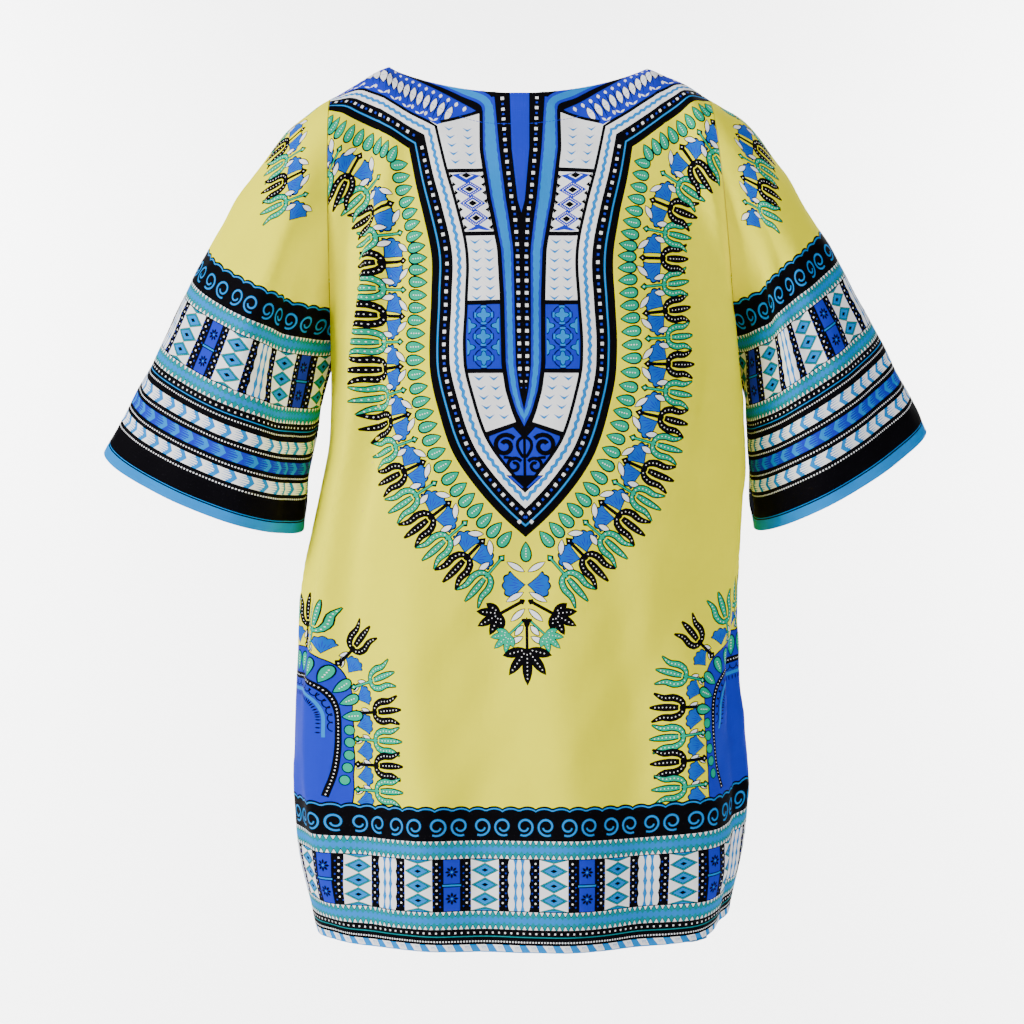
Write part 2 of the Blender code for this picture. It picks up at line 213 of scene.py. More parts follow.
class Cut:
    """One panel's flat cut, and the way from a flat point to the draped cloth."""

    def __init__(self, side):
        self.share = np.linspace(-1, 1, SHARES)
        self.level = np.linspace(0, HEM, LEVELS)
        share, level = np.meshgrid(self.share, self.level)
        place = plain_panel(side, share, level)
        wide = np.linalg.norm(np.diff(place, axis=1), axis=-1)
        high = np.linalg.norm(np.diff(place, axis=0), axis=-1)
        self.u = np.concatenate([np.zeros((len(self.level), 1)), np.cumsum(wide, axis=1)], axis=1)
        self.u -= self.u[:, len(self.share) // 2][:, None]
        down = np.concatenate([np.zeros((1, len(self.share))), np.cumsum(high, axis=0)])
        self.v = CUT_LENGTH - (down[-1] - down)
        self.u_grid = np.linspace(-TABLE_HALF, TABLE_HALF, WIDE_STEPS)
        self.v_grid = np.linspace(-TABLE_ABOVE, CUT_LENGTH, HIGH_STEPS)
        self.share_at = np.stack([np.interp(self.u_grid, row, self.share) for row in self.u])
        self.level_at = np.stack([
            np.interp(self.v_grid, column, self.level) for column in self.v.T], axis=1)

    def edge(self, sign, level):
        """How far the draped row reaches from the middle on one side."""
        return np.interp(-level, -self.level, np.abs(self.u[:, -1 if sign > 0 else 0]))

    def flat_edge(self, sign, level):
        """Half the flat cut on one side: the armhole curve above, then straight down."""
        straight = self.edge(sign, np.array([CHEST]))[0]
        return np.where(level > CHEST, self.edge(sign, level), straight)

    def place(self, u, v):
        """The share and level of each flat point, found by reading the two tables in turn."""
        share, level = u * FIRST_SHARE, HEM * np.clip(v, 0, None) / CUT_LENGTH
        sign = np.where(u < 0, -1.0, 1.0)
        for _ in range(ROUNDS):
            reach = np.where(sign < 0, self.edge(-1, level), self.edge(1, level))
            flat = np.where(sign < 0, self.flat_edge(-1, level), self.flat_edge(1, level))
            outer = np.clip((np.abs(u) - STIFF_MIDDLE) / (flat - STIFF_MIDDLE), 0, None) ** 2
            along = u + sign * outer * (reach - flat)
            share = bilinear(self.share_at, self.level, self.u_grid, level, along)
            level = bilinear(self.level_at, self.v_grid, self.share, v, share)
        return share, level


def bilinear(table, rows, columns, at_row, at_column):
    """The table read between its evenly spaced rows and columns."""
    r = np.clip((at_row - rows[0]) / (rows[1] - rows[0]), 0, len(rows) - 1.001)
    c = np.clip((at_column - columns[0]) / (columns[1] - columns[0]), 0, len(columns) - 1.001)
    i, j = r.astype(int), c.astype(int)
    fr, fc = r - i, c - j
    return ((table[i, j] * (1 - fc) + table[i, j + 1] * fc) * (1 - fr)
            + (table[i + 1, j] * (1 - fc) + table[i + 1, j + 1] * fc) * fr)


# The print. An outline is a closed line of complex numbers in millimetres of flat
# cloth: the real part runs across and the imaginary part down. Outlines are
# listed from the ground up, so that each lies over the ones before it.
INKS = ("ground", "black", "royal", "sky", "teal", "white", "leaf", "bloom")
GROUND, BLACK, ROYAL, SKY, TEAL, WHITE, LEAF, BLOOM = range(len(INKS))

# The printed cloth leans a little on the body: across for each unit down.
LEAN = 0.013


def polyline(points, spacing):
    """A smooth curve through the points, in steps of about spacing."""
    points = np.asarray(points, complex)
    places = np.concatenate([[0.0], np.cumsum(np.abs(np.diff(points)))])
    count = max(int(round(places[-1] / spacing)), 2) + 1
    return through(np.linspace(0, places[-1], count), places, points)


def lengths(line):
    """How far along a line each of its points lies."""
    return np.concatenate([[0.0], np.cumsum(np.abs(np.diff(line)))])


def sides(line):
    """The unit way to the right of a line at each point, seen with down as +i."""
    way = np.gradient(line)
    return way / np.abs(way) * 1j


def at_length(line, along):
    """Points at the given lengths along a line, and the line's unit heading there."""
    place = lengths(line)
    point = np.interp(along, place, line.real) + 1j * np.interp(along, place, line.imag)
    way = np.gradient(line)
    way = np.interp(along, place, way.real) + 1j * np.interp(along, place, way.imag)
    return point, way / np.abs(way)


def ribbon(line, first, second):
    """A strip between two offsets from a line, each a number or one for each point."""
    side = sides(line)
    return np.concatenate([line + side * first, (line + side * second)[::-1]])


def box(left, top, right, bottom):
    """A rectangle."""
    return np.array([left + 1j * top, right + 1j * top, right + 1j * bottom, left + 1j * bottom])


def square(size):
    """A square round 0."""
    return box(-size / 2, -size / 2, size / 2, size / 2)


def ring(radius, count):
    """A circle of count points."""
    return radius * np.exp(2j * np.pi * np.arange(count) / count)


def teardrop(length, width, count=16):
    """Pointed at 0 and round at length: x = L(1 - cos t)/2, y = 0.62 W sin t sin(t/2)^0.8."""
    t = np.linspace(0, 2 * np.pi, count, endpoint=False)
    y = 0.62 * width * np.sin(t) * np.abs(np.sin(t / 2)) ** 0.8
    return length * (1 - np.cos(t)) / 2 + 1j * y


def almond(length, width, count=6):
    """Pointed at both ends: y = W/2 sin(pi x/L)^0.8."""
    x = np.linspace(0, 1, count + 1)
    half = 0.5j * width * np.sin(np.pi * x) ** 0.8
    return np.concatenate([length * x + half, (length * x - half)[-2:0:-1]])


def prong(line, width, grow):
    """A tapering finger along a line: its half width is W/2 sin(pi(0.16 + 0.84 s))^0.75."""
    share = lengths(line) / lengths(line)[-1]
    half = width / 2 * np.sin(np.pi * np.clip(0.16 + 0.84 * share, 0, 0.999)) ** 0.75 + grow
    return ribbon(line, -half, half)


def trident(ink, length):
    """A sprig 54 mm long along +x: a diamond head, a stem and three dotted fingers."""
    fingers = [polyline([28, 40 + 0.3j, 56], 5)]
    for way in (1, -1):
        fingers.append(polyline([
            23, 25 + 5.2j * way, 32 + 8.8j * way, 43 + 8.8j * way, 53 + 13.0j * way], 4))
    head = np.array([-1, 3 - 3.2j, 7, 3 + 3.2j])
    shapes = [(BLACK, prong(finger, 5.2, 0.9)) for finger in fingers]
    shapes += [(BLACK, box(4, -1.5, 27, 1.5)), (BLACK, head * 1.15)]
    if ink != BLACK:
        shapes += [(ink, prong(finger, 4.9, -0.05)) for finger in fingers]
        shapes += [(ink, box(4, -0.8, 27, 0.8)), (ink, np.array([0.6, 3 - 2j, 5.6, 3 + 2j]))]
    for finger in fingers:
        dots_at, _ = at_length(finger, np.arange(4.0, lengths(finger)[-1] - 5, 3.7))
        shapes += [(WHITE, ring(0.72, 4) + dot) for dot in dots_at]
    shapes.append((WHITE, ring(0.8, 4) + 3))
    return [(each, outline.real * length + 1j * outline.imag) for each, outline in shapes]


def flower(size):
    """A bell seen from the side: narrow at 0, with a scalloped rim and fanned veins."""
    turn = np.linspace(-0.80, 0.80, 25)
    reach = 20.5 + 2.0 * np.abs(np.cos(7.85 * turn)) - 6.5 * np.abs(turn) ** 3
    rim = reach * np.exp(1j * turn)
    neck = np.array([10 - 9.0j, 4 - 3.4j, 0, 4 + 3.4j, 10 + 9.0j])
    outline = np.concatenate([rim, neck[::-1]])
    shapes = [(BLACK, (outline - 11) * 1.13 + 11), (BLOOM, outline)]
    for lean, start, vein in ((-0.50, 8, 10), (-0.25, 5, 9), (0.0, 7, 11), (0.25, 5, 9), (0.50, 8, 10)):
        shapes.append((ROYAL, (almond(vein, 0.95, 3) + start) * np.exp(1j * lean)))
    return [(ink, outline * size) for ink, outline in shapes]


def leaf(length, width=8.6):
    """A dotted teardrop with a black edge."""
    shapes = [(BLACK, teardrop(length + 2.6, width + 2.6) - 1.3), (LEAF, teardrop(length, width))]
    return shapes + [(WHITE, ring(0.72, 4) + x) for x in np.arange(0.32, 0.88, 0.145) * length]


def petal(length, width=4.6):
    """A white almond with a thin black edge."""
    return [(BLACK, almond(length + 2.2, width + 2.0) - 1.1), (WHITE, almond(length, width))]


def moved(shapes, at, turn):
    """The shapes turned and sized by a complex number, then carried to a point."""
    return [(ink, outline * turn + at) for ink, outline in shapes]


def mirrored(shapes):
    """The shapes and their mirror images across the middle line."""
    return shapes + [(ink, -outline.conj()) for ink, outline in shapes]


def leaned(shapes):
    """The shapes where the leaning print puts them."""
    return [(ink, outline + LEAN * outline.imag) for ink, outline in shapes]


def closed(half):
    """A right half line and its mirror image as one outline."""
    return np.concatenate([half, -half[::-1].conj()])


def clipped(outline, top, bottom):
    """An outline whose points are held between two levels."""
    return outline.real + 1j * np.clip(outline.imag, top, bottom)


# The neck panel's outline, from its tip up to the corner and out to the shoulder.
NECK_SIDE = [456j, 18 + 440j, 39 + 417j, 62 + 384j, 78 + 338j, 85 + 306j, 86 + 287j,
             84 + 240j, 83 + 200j, 91 + 162j, 102 + 124j, 109 + 97j]
NECK_TOP = [109 + 97j, 131 + 87j, 154 + 78j, 177 + 67j, 192 + 56j, 216 + 44j, 250 + 30j]


def neck_line(depth):
    """The right half of the neck panel's outline, moved in by depth with mitred corners."""
    side, top = polyline(NECK_SIDE, 4), polyline(NECK_TOP, 4)
    corner = side[-1]
    inward, upward = -sides(side), -sides(top)
    inward[-1] = inward[-2]
    upward[0] = upward[1]
    mitre = inward[-1] + upward[0]
    mitre *= 2 / np.abs(mitre) ** 2
    side, top = side + inward * depth, top + upward * depth
    line = np.concatenate([side[:-1], [corner + mitre * depth], top[1:]])
    kept = int(np.max(np.nonzero(line.real <= 1e-6)[0], initial=0))
    near, after = line[kept], line[kept + 1]
    tip = near + (after - near) * np.clip(-near.real / (after - near).real, 0, 1)
    return np.concatenate([[1j * tip.imag], line[kept + 1:]])


def neck_panel(depth):
    """The whole neck panel as one outline, closed above the shoulders."""
    return closed(np.append(neck_line(depth), 270 - 90j))


def jagged(line, width, pitch):
    """A ribbon whose edges swing in points: its halves meet every pitch."""
    along = np.arange(0, lengths(line)[-1], pitch / 2)
    point, way = at_length(line, along)
    swing = np.where(np.arange(len(along)) % 2 == 0, 1.0, 0.35) * width / 2
    left, right = point - way * 1j * swing, point + way * 1j * np.roll(swing, 1)
    return np.concatenate([left, right[::-1]])


def squares(line, depth, pitch, big, small):
    """White squares along a line with royal ones between them."""
    shapes = []
    for along in np.arange(5.0, lengths(line)[-1], pitch):
        for shift, ink, size in ((0, WHITE, big), (pitch / 2, ROYAL, small)):
            point, way = at_length(line, along + shift)
            shapes.append((ink, square(size) * way + point - 1j * way * depth))
    return shapes


# The spear down the middle of the neck panel. Columns: down, half width of the
# royal wedge, of the black spear, of the sky ribbon and of the black line round it.
SPEAR = np.array([
    (20, 9.4, 25.0, 34.5, 38.0),
    (36, 8.9, 23.6, 34.5, 38.0),
    (97, 8.0, 19.4, 34.2, 37.8),
    (148, 3.2, 14.0, 27.2, 31.2),
    (160, 0.0, 12.2, 24.8, 28.8),
    (195, 0.0, 7.9, 18.6, 22.5),
    (240, 0.0, 7.5, 16.4, 20.6),
    (300, 0.0, 6.9, 15.8, 20.0),
    (323, 0.0, 4.3, 12.6, 16.8),
    (342, 0.0, 0.0, 7.0, 11.4),
    (356, 0.0, 0.0, 0.0, 6.0),
    (366, 0.0, 0.0, 0.0, 0.0),
])
WEDGE, SPEAR_BLACK, SPEAR_SKY, SPEAR_LINE = range(1, 5)

# How deep inside the neck panel's outline the white columns end.
COLUMN_INSET = 34.6


def spear_half(column, down):
    """Half the width of one part of the spear at each distance down."""
    return np.interp(down, SPEAR[:, 0], SPEAR[:, column])


def spear_tip(column):
    """How far down one part of the spear ends."""
    return SPEAR[np.nonzero(SPEAR[:, column] == 0)[0][0], 0]


def spear_outline(column, top):
    """One part of the spear, closed at its tip."""
    down = np.linspace(top, spear_tip(column), 48)
    return closed(spear_half(column, down) + 1j * down)


def column_edge(down):
    """How far out the white columns reach at a distance down."""
    inner = neck_line(COLUMN_INSET)
    order = np.argsort(inner.imag)
    return np.interp(down, inner.imag[order], inner.real[order])


def column_field(top_in, top_out, bottom_in, bottom_out):
    """A field of the white columns, from the spear's line out to the columns' outer edge."""
    share = np.linspace(0, 1, 12)
    near = top_in + (bottom_in - top_in) * share
    far = top_out + (bottom_out - top_out) * share
    near = spear_half(SPEAR_LINE, near) + 1j * near
    return np.concatenate([near, (column_edge(far) + 1j * far)[::-1]])


def column_middle(down):
    """The middle line and half width of the white columns at a distance down."""
    near, far = spear_half(SPEAR_LINE, down), column_edge(down)
    return (far + near) / 2, (far - near) / 2


BIRD = 0.92 * np.array([
    -5.2 - 1.9j, -2.2 - 0.4j, 0.5j, 2.2 - 0.4j, 5.2 - 1.9j, 1.8 + 1.7j, 3.1j, -1.8 + 1.7j])


def chevrons(top, bottom):
    """Two columns of small sky birds on white."""
    shapes = []
    for down in np.arange(top, bottom, 8.7):
        middle, half = column_middle(down)
        for way in (-0.44, 0.44):
            shapes.append((SKY, BIRD + middle + way * half + 1j * down))
    return shapes


def harlequin(top, bottom):
    """Stacked royal diamonds, dotted, with black teeth at the sides of the field."""
    shapes = []
    pitch = (bottom - top) / 4
    for k in range(-1, 4):
        down = top + (k + 1.2) * pitch
        middle, half = column_middle(np.clip(down, top, bottom))
        wide = half * 0.86
        diamond = np.array([-wide, -0.58j * pitch, wide, 0.58j * pitch])
        at = middle + 1j * down
        for ink, size in ((ROYAL, 1.0), (WHITE, 0.50), (BLACK, 0.36)):
            shape = diamond * size + at
            if shape.imag.min() < bottom - 1 and shape.imag.max() > top + 1:
                shapes.append((ink, clipped(shape, top, bottom)))
        if 0 <= k < 3:
            for share in (0.10, 0.26, 0.42, 0.58, 0.74, 0.90):
                for a, b in ((0, 1), (1, 2), (2, 3), (3, 0)):
                    edge = diamond[a] * (1 - share) + diamond[b] * share
                    shapes.append((WHITE, ring(0.60, 4) + edge * 0.78 + at))
    for down in np.arange(top + 4, bottom - 2, 8.2):
        for way in (-1, 1):
            middle, half = column_middle(down)
            tooth = np.array([-2.6j, 3.4, 2.6j]) * -way
            shapes.append((BLACK, tooth + middle + way * half + 1j * down))
    return shapes


def lattice(top, bottom):
    """Sky clover shapes on royal with black curls between them."""
    shapes = []
    clover = ring(1, 32) * (4.6 + 1.5 * np.cos(4 * np.linspace(0, 2 * np.pi, 32, endpoint=False)))
    rows = np.linspace(top + 9.5, bottom - 9.5, 3)
    for row, down in enumerate(rows):
        middle, half = column_middle(down)
        spots = [(0.0, 0.0)]
        if row < 2:
            spots += [(way, (rows[1] - rows[0]) / 2) for way in (-0.93, 0.93)]
        for across, shift in spots:
            at = middle + across * half + 1j * (down + shift)
            if across:
                piece = clover * 1.1
                piece = np.where(piece.real * -across < 0, 1j * piece.imag, piece)
                shapes += [(BLACK, piece * 1.18 + at), (SKY, piece + at)]
                continue
            shapes += [(BLACK, clover * 1.2 + at), (SKY, clover * 1.02 + at)]
            for turn in range(4):
                way = np.exp(1j * (np.pi / 4 + np.pi / 2 * turn))
                shapes.append((BLACK, bow(8.2, 0.42, 6, 0.55) * way + at))
            for turn in range(4):
                shapes.append((SKY, bow(7.6, 0.30, 5, 0.9) * 1j ** turn + at))
                shapes.append((BLACK, bow(9.3, 0.34, 5, 0.4) * 1j ** turn + at))
    return shapes


def bow(radius, reach, count, half):
    """A bent strip: an arc of a circle that reaches as far to each side of +x."""
    return ribbon(radius * np.exp(1j * np.linspace(-reach, reach, count)), -half, half)


def scroll(radius, turns, width, start):
    """A spiral ribbon: its radius falls evenly from radius to a quarter of it."""
    angle = np.linspace(0, 2 * np.pi * turns, int(16 * turns) + 2)
    line = radius * (1 - 0.72 * angle / angle[-1]) * np.exp(1j * (start + angle))
    return ribbon(line, -width / 2, width / 2)


def heart():
    """The royal field at the tip: two pairs of black scrolls over a black triangle."""
    hook = polyline([1.5 + 366j, 5.5 + 369j, 6.4 + 374j, 4 + 380j, 1 + 384j], 3)
    tail = polyline([19 + 384j, 13 + 384.5j, 9 + 386j], 3)
    shapes = mirrored([(BLACK, scroll(10.6, 1.30, 4.2, -2.5) + 17.6 + 373.5j),
                       (BLACK, scroll(7.4, 1.25, 3.2, -2.6) + 9.4 + 391.5j),
                       (BLACK, ribbon(hook, -1.5, 1.5)), (BLACK, ribbon(tail, -1.4, 1.4))])
    shapes += [(BLACK, box(-1.3, 366, 1.3, 401)), (BLACK, np.array([-17 + 400j, 17 + 400j, 416j]))]
    slip = [(ROYAL, np.array([15.5 + 400.8j, 12.2 + 400.8j, 1.5 + 411.0j, 2.8 + 411.6j]))]
    return shapes + mirrored(slip)


def neck_print():
    """The whole neck panel: its bands, its columns, its spear and its yoke."""
    shapes = [(BLACK, neck_panel(0)), (SKY, neck_panel(7.0)), (BLACK, neck_panel(8.7))]
    shapes += mirrored(squares(neck_line(0), 14.1, 12.3, 3.1, 2.2))
    shapes.append((WHITE, neck_panel(19.5)))
    shapes += mirrored([(SKY, jagged(neck_line(25.6), 5.0, 7.6))])
    shapes.append((BLACK, neck_panel(31.6)))
    fields = [(ink, column_field(*ends)) for ink, ends in (
        (WHITE, (55, 69, 116, 118)), (WHITE, (120, 122, 178, 178)), (WHITE, (182, 182, 242, 242)),
        (ROYAL, (246, 246, 304, 304)), (WHITE, (308, 308, 352, 361)))]
    fields += chevrons(75, 112) + harlequin(121, 177) + chevrons(187, 240)
    fields += lattice(246, 304) + chevrons(312, 352)
    shapes += mirrored(fields)
    inner = neck_line(COLUMN_INSET)
    tip = inner[inner.imag > 365]
    heart_top = np.array([tip[-1].real + 365j, 10 + 357j, 368j])
    shapes += mirrored([(ROYAL, np.concatenate([tip, heart_top]))])
    return shapes + heart() + yoke_print()


def yoke_print():
    """The ribbon along the neckline and the royal field of slanted white seeds."""
    way = polyline([29.5 + 66j, 31 + 47j, 52 + 32.5j, 88 + 9j, 118 - 12j, 160 - 44j], 4)
    shapes = [(ROYAL, ribbon(way, -8.0, 5.2)), (SKY, ribbon(way, -4.8, 2.2))]
    low = neck_line(34.8)
    low = low[int(np.argmin(np.abs(low - (74 + 62j)))):]
    low = low[low.real < 212]
    top = np.array([41 + 54j, 62 + 40j, 92 + 19.5j, 128 - 5.5j, 190 - 50j])
    shapes.append((ROYAL, np.concatenate([low, [220 - 30j], top[::-1]])))
    upper = polyline(top, 4)
    for k, share in enumerate(np.linspace(0.05, 0.97, 15)):
        under, _ = at_length(low, share * 128)
        over, over_way = at_length(upper, 4 + share * 150)
        middle, reach = (under + over) / 2, np.abs(over - under)
        size = reach / 38
        slant = (over - under) / reach * np.exp(0.62j)
        vein = (almond(reach * 0.80, 1.3, 3) - reach * 0.40) * slant
        shapes.append((BLACK, vein + middle + over_way * 5.0))
        seed = (almond(17.5, 5.6) - 8.7) * slant * size
        shapes += [(BLACK, seed * 1.16 + middle), (WHITE, seed + middle)]
        up = over - under
        if k % 2 == 0:
            for lean in (0.6, np.pi - 0.6):
                shapes.append((WHITE, almond(5.6 * size, 2.2, 3) * np.exp(-1j * lean) + under + up * 0.05))
        else:
            shapes.append((WHITE, (almond(6.0, 3.4, 3) - 3) * slant + under + up * 0.14 + over_way * 4.5))
        shapes.append((WHITE, (almond(6.4, 3.6, 3) - 3.2) * slant + over - up * 0.12 - over_way * 3.2))
    shapes.append((BLACK, ribbon(np.array([37 + 55j, 56 + 61.5j, 76 + 69j]), -1.7, 1.7)))
    shapes = mirrored(shapes)
    shapes += [(BLACK, spear_outline(SPEAR_LINE, 54)), (ROYAL, spear_outline(SPEAR_SKY, 50)),
               (SKY, spear_ribbon(SPEAR_SKY, -2.0, 48)), (ROYAL, spear_ribbon(SPEAR_BLACK, 2.2, 40)),
               (BLACK, spear_outline(SPEAR_BLACK, 20)), (ROYAL, spear_outline(WEDGE, 20))]
    return shapes + spear_squares()


def spear_ribbon(column, wider, top):
    """A part of the spear made wider or narrower, with slightly uneven edges."""
    last = spear_tip(column) + 1.5 * wider
    down = np.linspace(top, last, 84)
    half = spear_half(column, down) + wider + 0.35 * np.cos(np.arange(84) * 2.4)
    return closed(np.clip(half * np.clip((last - down) / 8, 0, 1), 0, None) + 1j * down)


def spear_squares():
    """White squares down both arms of the spear, with small royal ones between."""
    shapes = []
    for down in np.arange(42, 322, 11.4):
        for shift, ink, size in ((0, WHITE, 3.1), (5.7, ROYAL, 2.0)):
            at = down + shift
            wedge, black = spear_half(WEDGE, at), spear_half(SPEAR_BLACK, at)
            across = max((wedge + black) / 2, 3.3)
            if black < 5.4:
                across, size = 2.1, size * 0.55
            shapes.append((ink, square(size) + across + 1j * at))
    return mirrored(shapes)


def leaf_ring(line, first, last, pitch, size):
    """Dotted leaves standing on a line, their points towards it."""
    shapes = []
    for along in np.arange(first, last, pitch):
        point, way = at_length(line, along)
        shapes += moved(leaf(16.6 * size, 8.8 * size), point + 1j * way * 5.0, 1j * way)
    return shapes


# How far out along the sprigs their spacing is kept even, and how strongly.
SPRIG_REACH, SPRIG_EVEN = 36, 0.65


def sprig_ring(line, first, last, pitch, start):
    """Black and leaf-green sprigs in turn, with a flower and two petals in each gap.

    Their spacing is mostly even along a line SPRIG_REACH further out, so that
    they don't crowd where the line bends inwards.
    """
    shapes = []
    place = lengths(line)
    evenly = (1 - SPRIG_EVEN) * place + SPRIG_EVEN * lengths(line + sides(line) * SPRIG_REACH)
    for k, mark in enumerate(np.arange(first, np.interp(last, place, evenly), pitch)):
        along, next_gap = np.interp([mark, mark + pitch / 2], evenly, place)
        point, way = at_length(line, along)
        out = 1j * way
        dark = (k + start) % 2 == 0
        after, after_way = at_length(line, next_gap)
        gap = 1j * after_way
        to_dark = -after_way if dark else after_way
        base = after + gap * 22.5 + to_dark * 7.5
        shapes += moved(flower(0.84), base, (-gap - to_dark * 0.75) / 1.25)
        shapes += moved(petal(13.0), after - gap * 0.5 + to_dark * 7.0, gap * 0.7 - to_dark * 0.75)
        lean = np.exp(0.2j if dark else -0.2j)
        shapes += moved(petal(11.5), after + gap * 15.0 - to_dark * 6.0, gap * lean)
        shapes += moved(trident(BLACK if dark else LEAF, 0.98), point + out * 1.5, out)
    return shapes


def ring_path():
    """The line the sprigs stand on: outside the neck panel, and rounded at its corner."""
    side, top = polyline(NECK_SIDE, 4), polyline(NECK_TOP, 4)
    side, top = side + sides(side) * 24.0, top + sides(top) * 24.0
    return polyline(np.concatenate([side[:-16:3], top[12::3]]), 4)


def flower_ring():
    """The leaves and sprigs round the neck panel, up both its sides and over the yoke."""
    side, top = polyline(NECK_SIDE, 4), polyline(NECK_TOP, 4)
    path = ring_path()
    shapes = sprig_ring(path, 4.0, lengths(path)[-1] - 6, 24.2, 1)
    shapes += leaf_ring(side, 13.0, lengths(side)[-1] - 9, 11.7, 1.0) + leaf_ring(top, 12.0, 128, 11.0, 1.0)
    return mirrored(shapes) + moved(leaf(16.5), 461j, 1j) + finial()


def head_sprigs(line):
    """The ring's leaves, sprigs and flowers where they run on over the top of a sleeve."""
    lower = line + 16j
    shapes = sprig_ring(lower, 6.0, lengths(lower)[-1] - 8, 25.0, 0)
    return shapes + leaf_ring(line - 3j, 4.0, lengths(line)[-1] * 0.62, 11.4, 0.95)


def stitches(line, ink):
    """A row of stitches, 2.6 mm long and 3.4 mm apart."""
    point, way = at_length(line, np.arange(2.0, lengths(line)[-1] - 3, 3.4))
    dash = box(-1.3, -0.28, 1.3, 0.28)
    return [(ink, dash * turn + at) for at, turn in zip(point, way)]


def finial():
    """What hangs under the ring's lowest point: flowers, petals and small sprigs."""
    shapes = moved(flower(0.86), 1.8 + 499j, np.exp(0.05j))
    for at, turn, length in ((2 + 487j, -0.52, 17), (3 + 506j, 0.50, 17), (2 + 521j, 0.72, 16),
                             (3.5 + 536j, 0.86, 11), (4 + 546j, 0.45, 13)):
        shapes += moved(petal(length), at, np.exp(1j * turn))
    shapes += moved(small_sprig(BLACK, 1.0), 2 + 513j, np.exp(0.50j))
    shapes += moved(small_sprig(LEAF, 0.80), 1.5 + 530j, np.exp(0.75j))
    shapes = mirrored(shapes)
    shapes += [(BLACK, box(-1.4, 530, 1.4, 562)), (BLACK, np.array([528j, 3 + 534j, 540j, -3 + 534j]))]
    for turn, length in ((0.0, 33), (0.62, 29), (-0.62, 29), (1.32, 23), (-1.32, 23)):
        way = 1j * np.exp(1j * turn)
        shapes.append((BLACK, almond(length, 9.5) * way + 557j))
        for along in np.arange(5, length - 4, 3.6):
            shapes.append((WHITE, ring(0.66, 4) + along * way + 557j))
    return shapes


def small_sprig(ink, size):
    """A stem with a five-pointed leaf, along +x."""
    shapes = [(BLACK, box(0, -1.5, 28, 1.5)), (BLACK, np.array([-1, 2.6 - 3j, 6, 2.6 + 3j]))]
    points = ((0.0, 23), (0.60, 21), (-0.60, 21), (1.15, 15), (-1.15, 15))
    for turn, length in points:
        shapes.append((BLACK, (almond(length + 1.8, 8.6) - 0.9) * np.exp(1j * turn) + 25))
    if ink != BLACK:
        shapes.append((ink, box(4, -0.8, 28, 0.8)))
        for turn, length in points:
            shapes.append((ink, almond(length, 6.8) * np.exp(1j * turn) + 25))
    for turn, length in points:
        for along in np.arange(5, length - 3, 3.6):
            shapes.append((WHITE, ring(0.66, 4) + along * np.exp(1j * turn) + 25))
    return [(ink_, outline * size) for ink_, outline in shapes]


# A side arch's outer edge on the right half: from the side seam over its top and
# down to the hem bands, and the dotted arch inside it.
ARCH_EDGE = [330 + 566j, 262 + 565j, 232 + 563j, 205 + 564j, 184 + 573j, 170 + 590j, 165 + 615j,
             164.5 + 650j, 166 + 704j]
ARCH_INNER = [330 + 590j, 262 + 590j, 232 + 588j, 206 + 589j, 188 + 598j, 178 + 614j, 176 + 640j,
              179 + 668j, 186 + 694j]


def side_arch():
    """The royal arch at the side seam: its leaves, its dotted line and its fringe."""
    edge = polyline(ARCH_EDGE, 4)
    wave = edge + sides(edge) * 1.1 * np.abs(np.sin(lengths(edge) / 9.0))
    shapes = [(BLACK, np.concatenate([wave + sides(wave) * 1.1, [167 + 716j, 330 + 716j]])),
              (ROYAL, np.concatenate([wave, [166 + 716j, 330 + 716j]]))]
    inner = polyline(ARCH_INNER, 4)
    shapes.append((BLACK, ribbon(inner, -2.9, 2.9)))
    total = lengths(inner)[-1]
    dots_at, _ = at_length(inner, np.arange(2, total, 3.3))
    shapes += [(WHITE, ring(0.75, 4) + dot) for dot in dots_at]
    for along in np.arange(6.0, total - 8, 11.0):
        point, way = at_length(inner, along)
        out = 1j * way
        if along < total * 0.72:
            shapes += moved(leaf(17.5), point + out * 4.2, out)
        else:
            rings = ((BLACK, 5.0), (LEAF, 4.1))
            shapes += [(ink, ring(radius, 14) + point + out * 9.5) for ink, radius in rings]
    fringe = polyline(ARCH_INNER[:7], 4)
    span = lengths(fringe)[-1]
    for along in np.arange(4, span - 2, 8.0):
        point, way = at_length(fringe, along)
        loop = 4.2 * np.exp(-1j * np.linspace(0, np.pi, 9)) * way + point - 1j * way * 4.4
        shapes.append((BLACK, ribbon(loop, -0.55, 0.55)))
    shapes.append((SKY, ribbon(fringe, -13.2, -10.4)))
    for along in np.arange(2, span - 2, 4.0):
        point, way = at_length(fringe, along)
        shapes.append((BLACK, almond(5.0, 1.5, 3) * -1j * way + point - 1j * way * 13.4))
    base = polyline(ARCH_EDGE[:-1] + [165 + 700j], 4)
    sprigs = []
    for k, along in enumerate(np.arange(14.0, lengths(base)[-1] - 4, 23.0)):
        point, way = at_length(base, along)
        out = 1j * way
        sprigs += moved(flower(0.66), point + way * 11.5 + out * 4.5, out * np.exp(0.15j))
        sprigs += moved(petal(9, 3.4), point + way * 4 + out * 3.5, out * np.exp(0.7j))
        sprigs += moved(petal(9, 3.4), point - way * 4 + out * 10, out * np.exp(-0.5j))
        sprigs += moved(trident(LEAF if k % 2 else BLACK, 0.90), point + out * 1.5, out)
    return sprigs + shapes


def strip(left, right, top, bottom, ink):
    """A straight band across the cloth."""
    return (ink, box(left, top, right, bottom))


def dots(left, right, down, pitch, size):
    """A row of small white dots."""
    return [(WHITE, square(size) + x + 1j * down) for x in np.arange(left, right, pitch)]


SAW_PITCH, ARROW_PITCH, HORN_PITCH = 5.2, 14.5, 19.5


